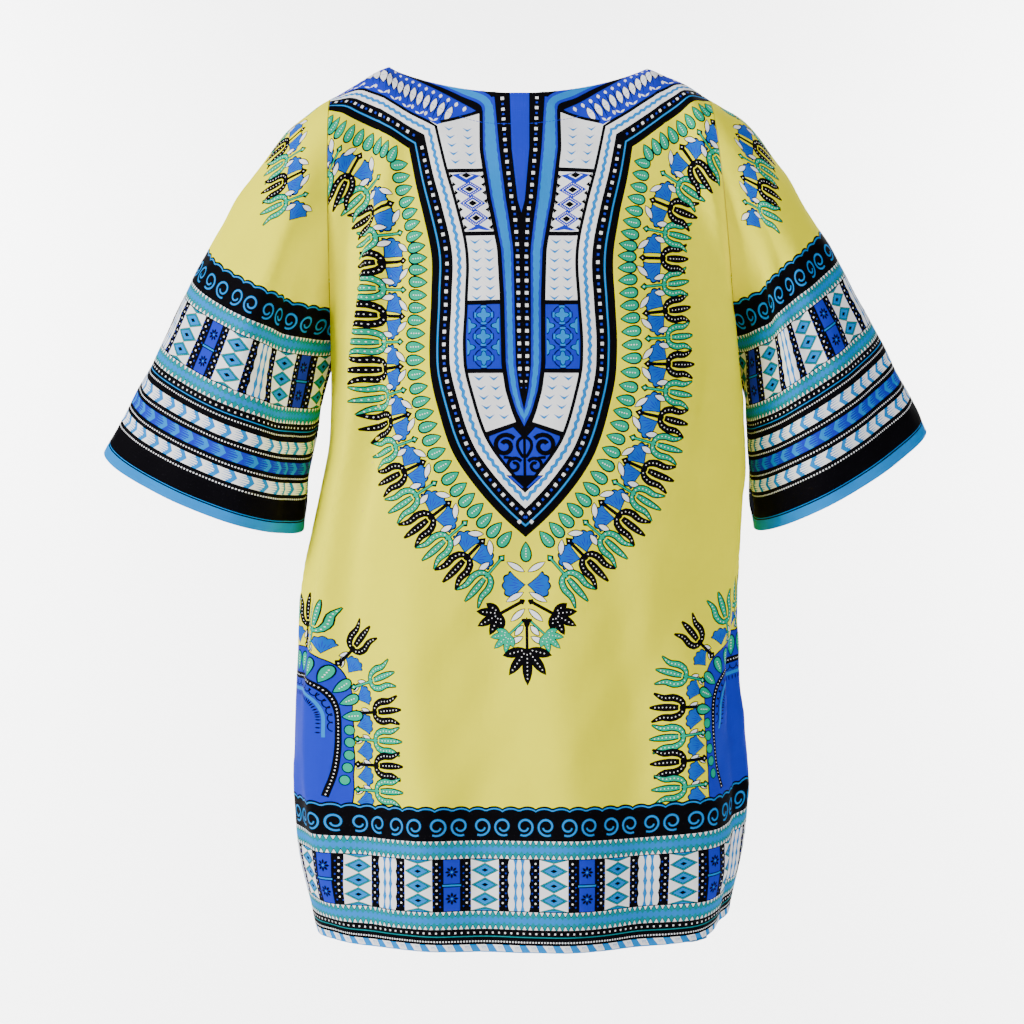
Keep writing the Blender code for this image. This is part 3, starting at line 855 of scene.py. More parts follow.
def teeth(left, right, top, bottom):
    """A sky band with teal saws along both edges and white triangles in their teeth."""
    shapes = [strip(left, right, top, bottom, BLACK), strip(left, right, top + 0.6, bottom - 0.6, SKY)]
    pitch = SAW_PITCH
    x = np.arange(left, right, pitch / 2)
    depth = np.where(np.arange(len(x)) % 2 == 0, 7.6, 4.6)
    for edge, way in ((top, 1), (bottom, -1)):
        saw = np.concatenate([x + 1j * (edge + way * depth), x[[-1, 0]] + 1j * (edge + way * 0.6)])
        shapes.append((TEAL, saw))
        for at in np.arange(left, right, pitch):
            shapes.append((BLACK, np.array([-0.2, pitch + 0.2, pitch / 2 + 5.4j * way]) + at + 1j * edge))
            shapes.append((WHITE, np.array([0.8 + 0.8j * way, pitch - 0.8 + 0.8j * way,
                                            pitch / 2 + 4.3j * way]) + at + 1j * edge))
    return shapes


def arrows(left, right, top, bottom, ground):
    """A band of sky arrow heads, each with a comb of fine strokes behind it."""
    shapes = [strip(left, right, top, bottom, ground)]
    high = (bottom - top) / 2
    middle = 1j * (top + bottom) / 2
    for x in np.arange(left, right, ARROW_PITCH):
        head = np.array([-1j * high, 4.6 - 1j * high, 8.6, 4.6 + 1j * high, 1j * high, 4.4])
        shapes.append((SKY, head + x + middle))
        for share in (-0.72, -0.4, 0.0, 0.4, 0.72):
            root = 4.4 * (1 - abs(share)) + 0.3
            stroke = np.array([root - 0.5j, -6.0 + 2.0 * abs(share), root + 0.5j])
            shapes.append((SKY, stroke + x + middle + 1j * share * high))
    return shapes


def horn(right_hand):
    """Half of a pair of rolled horns: a spiral that opens downwards on one side."""
    angle = np.linspace(0, 2.55 * np.pi, 26)
    line = (8.4 - 5.2 * angle / angle[-1]) * np.exp(1j * (angle + 0.35 * np.pi))
    half = 1.0 - 0.35 * np.abs(angle / angle[-1] - 0.4)
    band = ribbon(line, -half, half)
    return band if right_hand else -band.conj()


def scrolls(left, right, top, bottom):
    """A black band with a scalloped sky upper line and a row of rolled horns."""
    x = np.arange(left, right, 2.0)
    rise = top + 2.6 - 2.4 * np.abs(np.sin(np.pi * (x - left) / 15.0)) ** 0.7
    shapes = []
    for ink, shift in ((BLACK, -1.7), (SKY, 0.0), (BLACK, 1.4)):
        line = x + 1j * (rise + shift)
        shapes.append((ink, np.concatenate([line, [right + 1j * bottom, left + 1j * bottom]])))
    middle = (top + bottom) / 2 + 1.8
    for k, at in enumerate(np.arange(left + 8, right, HORN_PITCH)):
        shapes.append((SKY, horn(k % 2 == 1) + at + 1j * middle))
    return shapes


def diamonds(left, right, top, bottom):
    """A column of stacked sky diamonds on white, outlined in teal and black."""
    shapes = [strip(left, right, top, bottom, WHITE)]
    count, wide = 3, (right - left) / 2
    pitch = (bottom - top) / (count + 0.5)
    middle = (left + right) / 2
    for k in range(-1, count + 1):
        down = top + (k + 0.75) * pitch
        diamond = np.array([-wide, -0.5j * pitch, wide, 0.5j * pitch])
        at = middle + 1j * down
        for ink, size in ((BLACK, 1.0), (TEAL, 0.93), (BLACK, 0.76), (SKY, 0.70)):
            shapes.append((ink, clipped(diamond * size + at, top, bottom)))
        if 0 <= k < count:
            shapes.append((BLACK, diamond * 0.25 + at))
    return shapes


def waves(left, right, top, bottom):
    """White bulging columns and sky ones between them, over black."""
    down = np.linspace(top, bottom, 25)
    bulge = np.abs(np.sin((down - top) / (bottom - top) * np.pi * 4))
    width = right - left
    shapes = [strip(left, right, top, bottom, BLACK), strip(left + 3, right - 3, top, bottom, SKY)]
    for centre, half in ((0.19, 0.080), (0.5, 0.050), (0.81, 0.080)):
        edge = width * (half + 0.055 * bulge)
        line = left + centre * width + 1j * down
        shapes.append((WHITE, np.concatenate([line - edge, (line + edge)[::-1]])))
    return shapes


def dotted(left, right, top, bottom):
    """A narrow black column with white dots and thin royal dashes."""
    middle = (left + right) / 2
    shapes = [strip(left, right, top, bottom, BLACK)]
    for down in np.arange(top + 3.5, bottom - 1, 6.0):
        shapes.append((WHITE, ring(1.0, 5) + middle + 1j * down))
        shapes += [(ROYAL, ring(0.9, 4) + middle + way + 1j * (down + 3)) for way in (2.9, -2.9)]
    return shapes


def rosettes(left, right, top, bottom):
    """Two eight-petalled black flowers on royal, with a sky pinch between them."""
    middle, height = (left + right) / 2, bottom - top
    shapes = [strip(left, right, top, bottom, BLACK), strip(left + 2.2, right - 2.2, top, bottom, ROYAL)]
    shapes.append((BLACK, box(left, -1.7, right, 1.7) + 1j * (top + height / 2)))
    shapes.append((SKY, box(left + 1.2, -0.8, right - 1.2, 0.8) + 1j * (top + height / 2)))
    for share in (0.24, 0.76):
        at = middle + 1j * (top + share * height)
        for turn in range(8):
            way = np.exp(0.25j * np.pi * turn)
            shapes.append((BLACK, almond(4.6, 2.4, 3) * way + at + 1.2 * way))
        shapes.append((SKY, ring(1.0, 6) + at))
    return shapes


def blocks(left, right, top, bottom, shift):
    """The tall fields: waves, diamonds, rosettes and diamonds, with dotted strips between."""
    shapes = [strip(left, right, top, bottom, BLACK)]
    plan = ((waves, 23.0), (dotted, 6.5), (diamonds, 26.0), (dotted, 7.0),
            (rosettes, 19.0), (dotted, 7.0), (diamonds, 26.0), (dotted, 6.5))
    repeat = sum(width for _, width in plan)
    at = left - (left - shift) % repeat
    while at < right:
        for field, width in plan:
            if at + width > left and at < right:
                shapes += field(at + 0.3, at + width - 0.3, top, bottom)
            at += width
    return shapes


def hem_print(left, right, hem):
    """The bands along the hem, from the scrolls down to the white edge."""
    def band(drawn, above, below, *more):
        return drawn(left, right, hem - above, hem - below, *more)
    shapes = band(scrolls, 130.5, 100.5)
    shapes += band(blocks, 84.0, 37.5, -11.5)
    shapes += band(teeth, 101.5, 84.0) + band(teeth, 37.5, 20.0)
    shapes.append(strip(left, right, hem - 20.0, hem - 6.8, BLACK))
    shapes.append(strip(left, right, hem - 14.6, hem - 13.7, TEAL))
    shapes += dots(left, right, hem - 17.4, 5.6, 1.5) + dots(left, right, hem - 9.6, 2.6, 1.3)
    return shapes + hem_edge(left, right, hem)


def hem_edge(left, right, hem):
    """The white edge with slanted sky strokes."""
    shapes = [strip(left, right, hem - 6.8, hem + 30, WHITE)]
    for x in np.arange(left, right, 15.0):
        shapes.append((SKY, np.array([0, 6.2, 11.2 + 7.2j, 3.4 + 7.2j]) + x + 1j * (hem - 6.8)))
        for k in range(4):
            stroke = np.array([-1.1 * k, -1.1 * k + 0.5, 1.6 - 1.1 * k + 4.2j])
            shapes.append((SKY, stroke + x + 1j * (hem - 5.6) - 0.8))
    shapes.append(strip(left, right, hem - 0.9, hem + 30, SKY))
    return shapes


def sleeve_print(left, right):
    """The bands round a sleeve. Up the sleeve from its cuff is the way up the page."""
    shapes = scrolls(left, right, -214.5, -183.0)
    shapes += blocks(left, right, -168.0, -117.0, 12.0)
    shapes += teeth(left, right, -184.0, -167.0) + teeth(left, right, -118.0, -101.5)
    shapes.append(strip(left, right, -101.5, 40, BLACK))
    shapes += dots(left, right, -98.6, 5.6, 1.5)
    shapes.append(strip(left, right, -95.6, -94.7, SKY))
    for top, bottom, ground in ((-85.0, -74.0, WHITE), (-66.0, -55.0, ROYAL), (-47.0, -36.0, WHITE)):
        shapes += arrows(left, right, top, bottom, ground)
    for down in (-91.0, -70.0, -51.0, -32.0):
        shapes += dots(left, right, down, 2.7, 1.3)
    return shapes + [strip(left, right, -9.6, 40, SKY), strip(left, right, -11.6, -10.9, SKY)]


# The soft folds of the panels. Columns: side, upper level, lower level, place
# across at the top, in the middle and at the bottom, half width, height.
FOLDS = (
    (BACK, -0.080, -0.600, -0.61, -0.67, -0.73, 0.0130, 0.0160),
    (BACK, -0.080, -0.600, -0.53, -0.585, -0.64, 0.0150, -0.0070),
    (BACK, -0.120, -0.600, -0.83, -0.83, -0.85, 0.0190, -0.0090),
    (BACK, -0.040, -0.300, 0.88, 0.90, 0.84, 0.0160, 0.0080),
    (BACK, -0.170, -0.560, 0.82, 0.66, 0.52, 0.0240, -0.0100),
    (BACK, -0.230, -0.620, 0.90, 0.80, 0.72, 0.0210, 0.0105),
    (BACK, -0.400, -0.640, 0.94, 0.90, 0.86, 0.0150, -0.0080),
    (BACK, -0.430, -0.800, -0.80, -0.74, -0.72, 0.0200, 0.0085),
    (BACK, -0.480, -0.880, -0.56, -0.54, -0.56, 0.0260, -0.0080),
    (BACK, -0.380, -0.960, -0.40, -0.33, -0.30, 0.0260, 0.0085),
    (BACK, -0.460, -0.960, -0.08, -0.12, -0.14, 0.0280, -0.0070),
    (BACK, -0.430, -0.960, 0.10, 0.16, 0.18, 0.0280, 0.0075),
    (BACK, -0.400, -0.960, 0.30, 0.39, 0.42, 0.0260, -0.0080),
    (BACK, -0.380, -0.940, 0.54, 0.62, 0.66, 0.0240, 0.0085),
    (BACK, -0.520, -0.860, 0.84, 0.85, 0.86, 0.0200, -0.0080),
    (BACK, -0.300, -0.470, -0.30, -0.24, -0.10, 0.0300, 0.0035),
    (BACK, -0.260, -0.430, 0.40, 0.30, 0.16, 0.0300, -0.0035),
    (FRONT, -0.060, -0.420, -0.70, -0.66, -0.58, 0.0220, -0.0085),
    (FRONT, -0.060, -0.420, 0.70, 0.66, 0.60, 0.0220, -0.0085),
    (FRONT, -0.240, -0.620, -0.84, -0.80, -0.74, 0.0200, 0.0085),
    (FRONT, -0.240, -0.620, 0.84, 0.80, 0.72, 0.0200, 0.0085),
    (FRONT, -0.420, -0.900, -0.56, -0.50, -0.48, 0.0280, -0.0085),
    (FRONT, -0.420, -0.900, 0.52, 0.48, 0.44, 0.0280, 0.0085),
    (FRONT, -0.520, -0.900, -0.20, -0.16, -0.14, 0.0300, 0.0070),
    (FRONT, -0.560, -0.900, 0.14, 0.16, 0.18, 0.0300, -0.0070),
    (FRONT, -0.520, -0.900, 0.76, 0.78, 0.80, 0.0220, -0.0080),
    (FRONT, -0.520, -0.900, -0.76, -0.78, -0.80, 0.0220, 0.0080),
)

# The sleeves' folds. Columns: end (-1 left, 1 right), upper share along, lower
# share along, place round at the top, middle and bottom, half width, height.
SLEEVE_FOLDS = (
    (-1, -0.10, 0.70, 0.300, 0.315, 0.345, 0.0180, -0.0095),
    (-1, -0.05, 0.90, 0.215, 0.230, 0.255, 0.0190, 0.0075),
    (-1, 0.10, 1.30, 0.400, 0.405, 0.410, 0.0180, -0.0085),
    (-1, 0.35, 1.45, 0.150, 0.155, 0.160, 0.0220, -0.0065),
    (-1, 0.45, 1.45, 0.300, 0.300, 0.300, 0.0200, 0.0055),
    (-1, 0.05, 1.30, 0.630, 0.640, 0.650, 0.0200, -0.0080),
    (-1, 0.10, 1.30, 0.760, 0.770, 0.780, 0.0220, 0.0060),
    (1, -0.10, 0.60, 0.315, 0.320, 0.330, 0.0180, -0.0085),
    (1, -0.05, 0.80, 0.205, 0.220, 0.235, 0.0190, -0.0070),
    (1, 0.20, 1.20, 0.110, 0.120, 0.130, 0.0220, -0.0065),
    (1, 0.35, 1.40, 0.270, 0.275, 0.280, 0.0200, 0.0055),
    (1, 0.05, 1.30, 0.635, 0.640, 0.645, 0.0200, -0.0080),
    (1, 0.10, 1.30, 0.765, 0.770, 0.780, 0.0220, 0.0060),
)

# Shallow unevenness of worn cotton, as waves over the flat cloth. Columns: waves
# a metre across and down, phase, height.
CRUMPLE = (
    (7.0, 3.1, 0.4, 0.00095), (-5.2, 6.3, 1.9, 0.00085), (11.0, -4.0, 3.3, 0.00060),
    (3.5, 13.0, 5.1, 0.00048), (17.0, 5.5, 2.2, 0.00040), (-13.0, 15.0, 0.9, 0.00034),
    (23.0, -11.0, 4.4, 0.00022), (9.0, 27.0, 1.1, 0.00018),
)


def crumple(u, v):
    """The height of the unevenness: a sum of waves bent by each other."""
    total = np.zeros_like(u)
    bend = 0.9 * np.sin(9.0 * u + 5.0 * v) + 0.7 * np.sin(6.0 * v - 4.0 * u)
    for across, down, phase, height in CRUMPLE:
        total += height * np.sin(2 * np.pi * (across * u + down * v) + phase + 1.6 * bend)
    return total


def fold_heights(folds, at, around, room):
    """The folds' heights: Gaussian ridges along curved lines that fade at both ends.

    Each line is the parabola through its places at the top, middle and bottom.
    """
    raised = np.zeros_like(at)
    for top, bottom, first, middle, last, width, height in folds:
        t = (at - top) / (bottom - top)
        line = first * (1 - t) * (1 - 2 * t) + middle * 4 * t * (1 - t) + last * t * (2 * t - 1)
        strength = np.sin(np.pi * np.clip(t, 0, 1)) ** 0.8
        off = (around - np.where(strength > 0, line, middle)) * room / width
        raised += strength * height * np.exp(-off * off)
    return raised


# Half a panel's width of cloth at the chest and at the shoulders, and a sleeve's
# way round, which turn a fold's place from a share into a length.
HALF_WIDTHS, SLEEVE_ROUND = (0.285, SHOULDER_HALF + 0.012), 0.52

# Over which shares folds fade towards a side seam and towards an armhole, and
# the share from which a side vent opens, with the share and length it takes.
SIDE_FADE, ARMHOLE_FADE = 0.16, 0.30
VENT_FROM, VENT_SHARE, VENT_LENGTH = 0.86, 0.14, 0.12


def rows_for(part, table):
    """The rest of each row whose first value names the part."""
    return [row[1:] for row in table if row[0] == part]


def panel(side, share, level, extra=0.0):
    """The draped panel: plain, with its folds and any extra height along its normal."""
    room = np.interp(level, [CHEST, 0.0], HALF_WIDTHS)
    raised = fold_heights(rows_for(side, FOLDS), level, share, room)
    raised = raised * ease((1 - np.abs(share)) / SIDE_FADE)
    placed = plain_panel(side, share, level)
    placed = placed + (raised + extra)[..., None] * panel_normal(side, share, level)
    parted = VENT_OPEN * ease((VENT_TOP - level) / VENT_LENGTH)
    parted = parted * ease((np.abs(share) - VENT_FROM) / VENT_SHARE)
    placed[..., 1] += side * (SEAM_GAP / 2 + parted)
    return placed


def edge_frame(side, end, level):
    """The armhole edge of a panel, and the way out of the panel there."""
    across = np.full_like(level, end)
    edge = panel(side, across, level)
    normal = panel_normal(side, across, level)
    out = np.cross(normal, np.gradient(edge, axis=0))
    out /= np.maximum(np.linalg.norm(out, axis=-1, keepdims=True), 1e-12)
    inwards = panel(side, across * 0.98, level) - edge
    return edge, out * -np.sign(np.sum(out * inwards, axis=-1, keepdims=True))


def sleeve_way(ways, mirror, turn):
    """One of the sleeve's tables of directions, read all round."""
    top, back, under, front = (np.array(ways[k]) for k in ("top", "back", "under", "front"))
    cos, sin = np.cos(turn)[:, None], np.sin(turn)[:, None]
    upper, lower = np.clip(cos, 0, 1) ** 2, np.clip(-cos, 0, 1) ** 2
    behind, ahead = np.clip(sin, 0, 1) ** 2, np.clip(-sin, 0, 1) ** 2
    way = top * upper + under * lower + back * behind + front * ahead
    return way * np.array([mirror, 1.0, 1.0])


class Sleeve:
    """A sleeve as a grid of rings from armhole to cuff, and its flat cut.

    On the flat cut u runs round from the upper line, towards the back first, and
    v runs down to the cuff, where it is 0. The cut ends a little short of its
    seam and of the armhole.
    """

    ROUND, ALONG = 112, 60
    SEAM_SHY, ARMHOLE_SHY = 0.0003, 0.0002

    def __init__(self, end):
        self.end = end
        half = self.ROUND // 2
        level = CHEST * np.linspace(0, 1, half + 1)
        back, back_out = edge_frame(BACK, end, level)
        front, front_out = edge_frame(FRONT, end, level)
        edge = np.concatenate([back[:-1], front[:0:-1]])
        out = np.concatenate([back_out[:-1], front_out[:0:-1]])
        for corner, other in ((0, 0), (half, -1)):
            pair = back_out[other] + front_out[other]
            edge[corner] = (back[other] + front[other]) / 2
            out[corner] = pair / np.linalg.norm(pair)
        turn = np.pi * np.arange(2 * half) / half
        outer, inner, reach = (np.array(point) for point in CUFFS[end])
        middle, long_way = (outer + inner) / 2, (outer - inner) / 2
        finish = middle + long_way * np.cos(turn)[:, None] + reach * np.sin(turn)[:, None]
        along = np.linspace(0, 1, self.ALONG + 1)[:, None, None]
        ways = [sleeve_way(table, -end, turn) for table in (SLEEVE_START, SLEEVE_END)]
        self.grid = hermite(along, edge + out * SEAM_GAP, ways[0], finish, ways[1])
        self.normal = self.ring_normals()
        share = np.broadcast_to(along[..., 0], self.grid.shape[:2])
        around = np.broadcast_to(turn / (2 * np.pi), self.grid.shape[:2])
        raised = fold_heights(rows_for(end, SLEEVE_FOLDS), share, around, SLEEVE_ROUND)
        raised = raised * ease(share / ARMHOLE_FADE)
        self.grid = self.grid + raised[..., None] * self.normal
        self.normal = self.ring_normals()
        step = np.linalg.norm(np.diff(self.grid, axis=0), axis=-1)
        self.up = np.concatenate([np.zeros((1, 2 * half)), np.cumsum(step[::-1], axis=0)])[::-1]
        self.girth = np.linalg.norm(self.grid - np.roll(self.grid, 1, axis=1), axis=-1).sum(axis=1)
        self.flat_girth = float(self.girth[self.ALONG // 2:].mean())

    def ring_normals(self):
        """Outward normals of the closed rings."""
        around = np.roll(self.grid, -1, axis=1) - np.roll(self.grid, 1, axis=1)
        return -self.end * cross_unit(np.gradient(self.grid, axis=0), around)

    def at(self, table, u, v):
        """A ring table read at flat points: round by share of the girth, along by length."""
        c = (u / self.flat_girth % 1.0) * self.ROUND
        j = c.astype(int) % self.ROUND
        k, fc = (j + 1) % self.ROUND, c - np.floor(c)
        up = -v
        level = np.zeros_like(u)
        low, high = np.zeros(len(u), int), np.full(len(u), self.ALONG)
        for _ in range(7):
            mid = (low + high) // 2
            height = self.up[mid, j] * (1 - fc) + self.up[mid, k] * fc
            low, high = np.where(height > up, mid, low), np.where(height > up, high, mid)
        low = np.minimum(low, self.ALONG - 1)
        top = self.up[low, j] * (1 - fc) + self.up[low, k] * fc
        bottom = self.up[low + 1, j] * (1 - fc) + self.up[low + 1, k] * fc
        fr = np.clip((top - up) / np.maximum(top - bottom, 1e-9), 0, 1)[..., None]
        fc = fc[..., None]
        return ((table[low, j] * (1 - fc) + table[low, k] * fc) * (1 - fr)
                + (table[low + 1, j] * (1 - fc) + table[low + 1, k] * fc) * fr)

    def drape(self, u, v):
        """The draped place of flat points."""
        placed = self.at(self.grid, u, v)
        normal = self.at(self.normal, u, v)
        calm = ease(-v / 0.02) * ease((self.top_of(u) + v) / 0.03)
        return placed + (crumple(u + self.end, v) * calm)[..., None] * normal

    def top_of(self, u):
        """How long the sleeve is at each place round, from cuff to armhole."""
        c = (u / self.flat_girth % 1.0) * self.ROUND
        return np.interp(c, np.arange(self.ROUND + 1), np.append(self.up[0], self.up[0, 0]))

    def outline(self):
        """The flat cut, in millimetres: a rectangle whose top follows the armhole."""
        half = self.flat_girth / 2 - self.SEAM_SHY
        u = np.linspace(-half, half, 130)
        top = u - 1j * (self.top_of(u) - self.ARMHOLE_SHY)
        share = np.linspace(0, 1, 60)[1:-1]
        right = half - 1j * np.abs(top[-1].imag) * (1 - share)
        left = -half - 1j * np.abs(top[0].imag) * share
        return np.concatenate([top, right, u[::-1], left]) / MM


# How the flat cloth is cut, in millimetres: the grid's pitch and the tiles' width
# outside and inside, and how near two points are the same. Only shapes of at
# least REVERSE_LEAST, in square millimetres, show on the reverse.
PITCH, TILE, SAME = 6.0, 61.3, 1e-4
REVERSE_PITCH, REVERSE_TILE, REVERSE_LEAST = 8.5, 183.9, 1500

# The first tile starts this far outside the cut, so that no tile's edge runs
# along the cut's, and a tile looks this far round itself for the cut's edge.
OFF_GRID, LOOK_ROUND = 1.37, 9

# Normals are worked out from the drape at this distance each way.
NORMAL_STEP = 0.4 * MM

# As shares of the pitch: how far the loose points' rows are apart, how near the
# cut's edge they come, and how long an outline's edge may be.
ROW_SHARE, NEAR_EDGE, LONG_EDGE = 0.87, 0.45, 1.3

# How far off the outline, in millimetres, a rim point may lie and belong to it.
OFF_LINE = 0.01


def hex_colour(text):
    """A six-digit sRGB colour as linear red, green, blue and alpha."""
    parts = [int(text[k:k + 2], 16) / 255 for k in (0, 2, 4)]
    return [c / 12.92 if c <= 0.04045 else ((c + 0.055) / 1.055) ** 2.4 for c in parts] + [1.0]


def inside(points, outline):
    """Which points lie inside a closed outline, by counting the edges to their right."""
    count = np.zeros(len(points), int)
    for a, b in zip(outline, np.roll(outline, -1)):
        if a.imag != b.imag:
            spans = (a.imag > points.imag) != (b.imag > points.imag)
            cross = a.real + (points.imag - a.imag) * (b - a).real / (b - a).imag
            count += spans & (cross > points.real)
    return count % 2 == 1


def stipple(outline, pitch):
    """A staggered grid of points inside an outline, none too near its edge."""
    down = np.arange(outline.imag.min() + pitch / 2, outline.imag.max(), pitch * ROW_SHARE)
    x, y = np.meshgrid(np.arange(outline.real.min(), outline.real.max(), pitch), down)
    x = x + (np.arange(len(down)) % 2 * pitch / 2)[:, None]
    points = (x + 1j * y).ravel()
    points = points[inside(points, outline)]
    near = np.min(np.abs(points[:, None] - outline[None, ::2]), axis=1)
    return points[near > pitch * NEAR_EDGE]


def signed_area(shape):
    """The area of an outline by the shoelace rule, above 0 where it runs anticlockwise."""
    return np.sum(np.imag(np.conj(shape) * np.roll(shape, -1))) / 2


def anticlockwise(shape):
    """The outline in the direction that the triangulation fills."""
    return shape if signed_area(shape) > 0 else shape[::-1]


def split(shape, longest):
    """The outline with further points along its long edges, so that they bend with the cloth."""
    step = np.roll(shape, -1) - shape
    count = np.maximum(np.ceil(np.abs(step) / longest).astype(int), 1)
    order = np.arange(count.sum()) - np.repeat(np.cumsum(count) - count, count)
    return np.repeat(shape, count) + np.repeat(step / count, count) * order


def corners_of(shape):
    """The two corners of the box round an outline."""
    return shape.real.min(), shape.imag.min(), shape.real.max(), shape.imag.max()


def cut_tile(tile, outline, shapes, loose):
    """Triangulates what lies in one tile, a rectangle: flat points, triangles and inks."""
    inputs = [outline, tile] + [shape for _, shape in shapes]
    starts = np.concatenate([[0], np.cumsum([len(line) for line in inputs])])
    faces = [list(range(a, b)) for a, b in zip(starts[:-1], starts[1:])]
    points = np.concatenate(inputs + [loose])
    made = delaunay_2d_cdt([Vector((p.real, p.imag)) for p in points], [], faces, 0, SAME, True)
    flat = np.array([point[:] for point in made[0]])
    inks = np.array([GROUND, GROUND] + [ink for ink, _ in shapes])
    kept = np.array([0 in owners and 1 in owners for owners in made[5]])
    top = np.array([inks[max(owners, default=0)] for owners in made[5]])
    if not kept.any():
        return np.zeros(0, complex), np.zeros((0, 3), int), np.zeros(0, int)
    return flat[:, 0] + 1j * flat[:, 1], np.array(made[2])[kept], top[kept]


def around(points, middle, reach):
    """Which points lie in the square that reaches that far round the middle."""
    return (np.abs((points - middle).real) < reach) & (np.abs((points - middle).imag) < reach)


def printed(outline, shapes, pitch, size):
    """Cuts the print into the flat cloth: points, triangles and the ink of each triangle.

    The cloth is cut tile by tile, as many small cuts are far quicker than one
    large one, and the tiles are joined where their points are the same.
    """
    loose = stipple(outline, pitch)
    outline = anticlockwise(outline)
    shapes = [(ink, split(anticlockwise(shape), pitch * LONG_EDGE)) for ink, shape in shapes]
    boxes = np.array([corners_of(shape) for _, shape in shapes])
    low, high = outline.real.min() - OFF_GRID, outline.real.max() + 1
    top, bottom = outline.imag.min() - OFF_GRID, outline.imag.max() + 1
    steps = int(np.ceil(size / pitch))
    points, triangles, inks, count = [], [], [], 0
    for x in np.arange(low, high, size):
        for y in np.arange(top, bottom, size):
            side = np.linspace(0, size, steps, endpoint=False)
            tile = np.concatenate([x + side + 1j * y, x + size + 1j * (y + side),
                                   x + size - side + 1j * (y + size), x + 1j * (y + size - side)])
            middle = np.array([x + size / 2 + 1j * (y + size / 2)])
            on_edge = around(outline, middle, size / 2 + LOOK_ROUND).any()
            if not on_edge and not inside(middle, outline)[0]:
                continue
            whole = outline if on_edge else box(x - 2 * size, y - 2 * size, x + 3 * size, y + 3 * size)
            met = (boxes[:, 0] < x + size) & (boxes[:, 2] > x) & (boxes[:, 1] < y + size) & (boxes[:, 3] > y)
            near = around(loose, middle, size / 2 - pitch / 3)
            shown = [shapes[k] for k in np.flatnonzero(met)]
            flat, faces, top_ink = cut_tile(tile, whole, shown, loose[near])
            points.append(flat)
            triangles.append(faces + count)
            inks.append(top_ink)
            count += len(flat)
    flat, same = np.unique(np.round(np.concatenate(points), 5), return_inverse=True)
    faces = same[np.concatenate(triangles)]
    used, faces = np.unique(faces, return_inverse=True)
    return flat[used], faces.reshape(-1, 3), np.concatenate(inks)


def edges_of(triangles):
    """The directed edges: every triangle's first, then the second, then the third."""
    return np.concatenate([triangles[:, [0, 1]], triangles[:, [1, 2]], triangles[:, [2, 0]]])


def rim_of(triangles):
    """The directed edges that belong to one triangle only."""
    edges = edges_of(triangles)
    _, first, count = np.unique(np.sort(edges, axis=1), axis=0, return_index=True, return_counts=True)
    return edges[first[count == 1]]


def in_order(border, outline):
    """Rim points in their order along the outline: by its segments, then along each."""
    way = np.roll(outline, -1) - outline
    share = np.clip(((border[:, None] - outline) / way).real, 0, 1)
    off = np.abs(border[:, None] - (outline + share * way))
    segment = np.argmin(off, axis=1)
    place = segment + share[np.arange(len(border)), segment]
    return border[np.argsort(place)], off.min(axis=1) < OFF_LINE


def matched(wanted, among):
    """For each wanted flat point, the number of the nearest point of another list."""
    rim = np.unique(rim_of(among[1]))
    return rim[np.argmin(np.abs(wanted[:, None] - among[0][rim]), axis=1)]


def cloth(name, outline, shapes, drape, out, wall):
    """A closed wall of cloth: printed outside, plainer inside, joined round its rim.

    drape carries flat points to their places, and out is 1 where its differences
    across and down give a normal that points outwards, and otherwise -1. The
    inside lies at the depth wall(v) along the normals.
    """
    flat, triangles, inks = printed(outline, shapes, PITCH, TILE)
    rim = rim_of(triangles)
    border = np.unique(rim)
    on_edge = in_order(flat[border], outline)[1]
    rim = rim[np.isin(rim, border[on_edge]).all(axis=1)]
    border = flat[border[on_edge]]
    large = [(ink, shape) for ink, shape in shapes if abs(signed_area(shape)) > REVERSE_LEAST]
    reverse, reverse_triangles, reverse_inks = printed(
        in_order(border, outline)[0], large, REVERSE_PITCH, REVERSE_TILE)

    def laid(points):
        u, v = points.real * MM, points.imag * MM
        wide = drape(u + NORMAL_STEP, v) - drape(u - NORMAL_STEP, v)
        high = drape(u, v + NORMAL_STEP) - drape(u, v - NORMAL_STEP)
        return drape(u, v), out * cross_unit(wide, high)

    outer, outer_normal = laid(flat)
    inner, inner_normal = laid(reverse)
    inner = inner - inner_normal * wall(reverse.imag * MM)[:, None]
    turned = slice(None) if out > 0 else slice(None, None, -1)
    twin = np.zeros(len(flat), int)
    edge = np.unique(rim)
    twin[edge] = matched(flat[edge], (reverse, reverse_triangles)) + len(flat)
    twin = twin[rim]
    joint = np.concatenate([
        np.stack([rim[:, 1], rim[:, 0], twin[:, 0]], axis=1),
        np.stack([rim[:, 1], twin[:, 0], twin[:, 1]], axis=1)])
    corners = np.concatenate([triangles, reverse_triangles[:, ::-1] + len(flat), joint])[:, turned]
    places = np.concatenate([outer, inner])
    flat_normal = cross_unit(places[corners[:, 1]] - places[corners[:, 0]],
                             places[corners[:, 2]] - places[corners[:, 0]])
    smooth = np.concatenate([outer_normal, -inner_normal])[corners]
    smooth[-len(joint):] = flat_normal[-len(joint):, None]
    mesh = bpy.data.meshes.new(name)
    mesh.from_pydata(places.tolist(), [], corners.tolist())
    mesh.polygons.foreach_set("use_smooth", np.ones(len(corners), bool))
    owner = np.concatenate([inks, reverse_inks + len(INKS), inks_at(rim, triangles, inks)])
    mesh.polygons.foreach_set("material_index", owner.astype(np.int32))
    cut = np.concatenate([flat, reverse])[corners.ravel()] * MM
    layer = mesh.uv_layers.new(name="cut")
    layer.data.foreach_set("uv", np.stack([cut.real, cut.imag], axis=1).astype(np.float32).ravel())
    mesh.normals_split_custom_set(smooth.reshape(-1, 3).tolist())
    for material in COTTON + REVERSE:
        mesh.materials.append(material)
    thing = bpy.data.objects.new(name, mesh)
    bpy.context.scene.collection.objects.link(thing)
    return thing


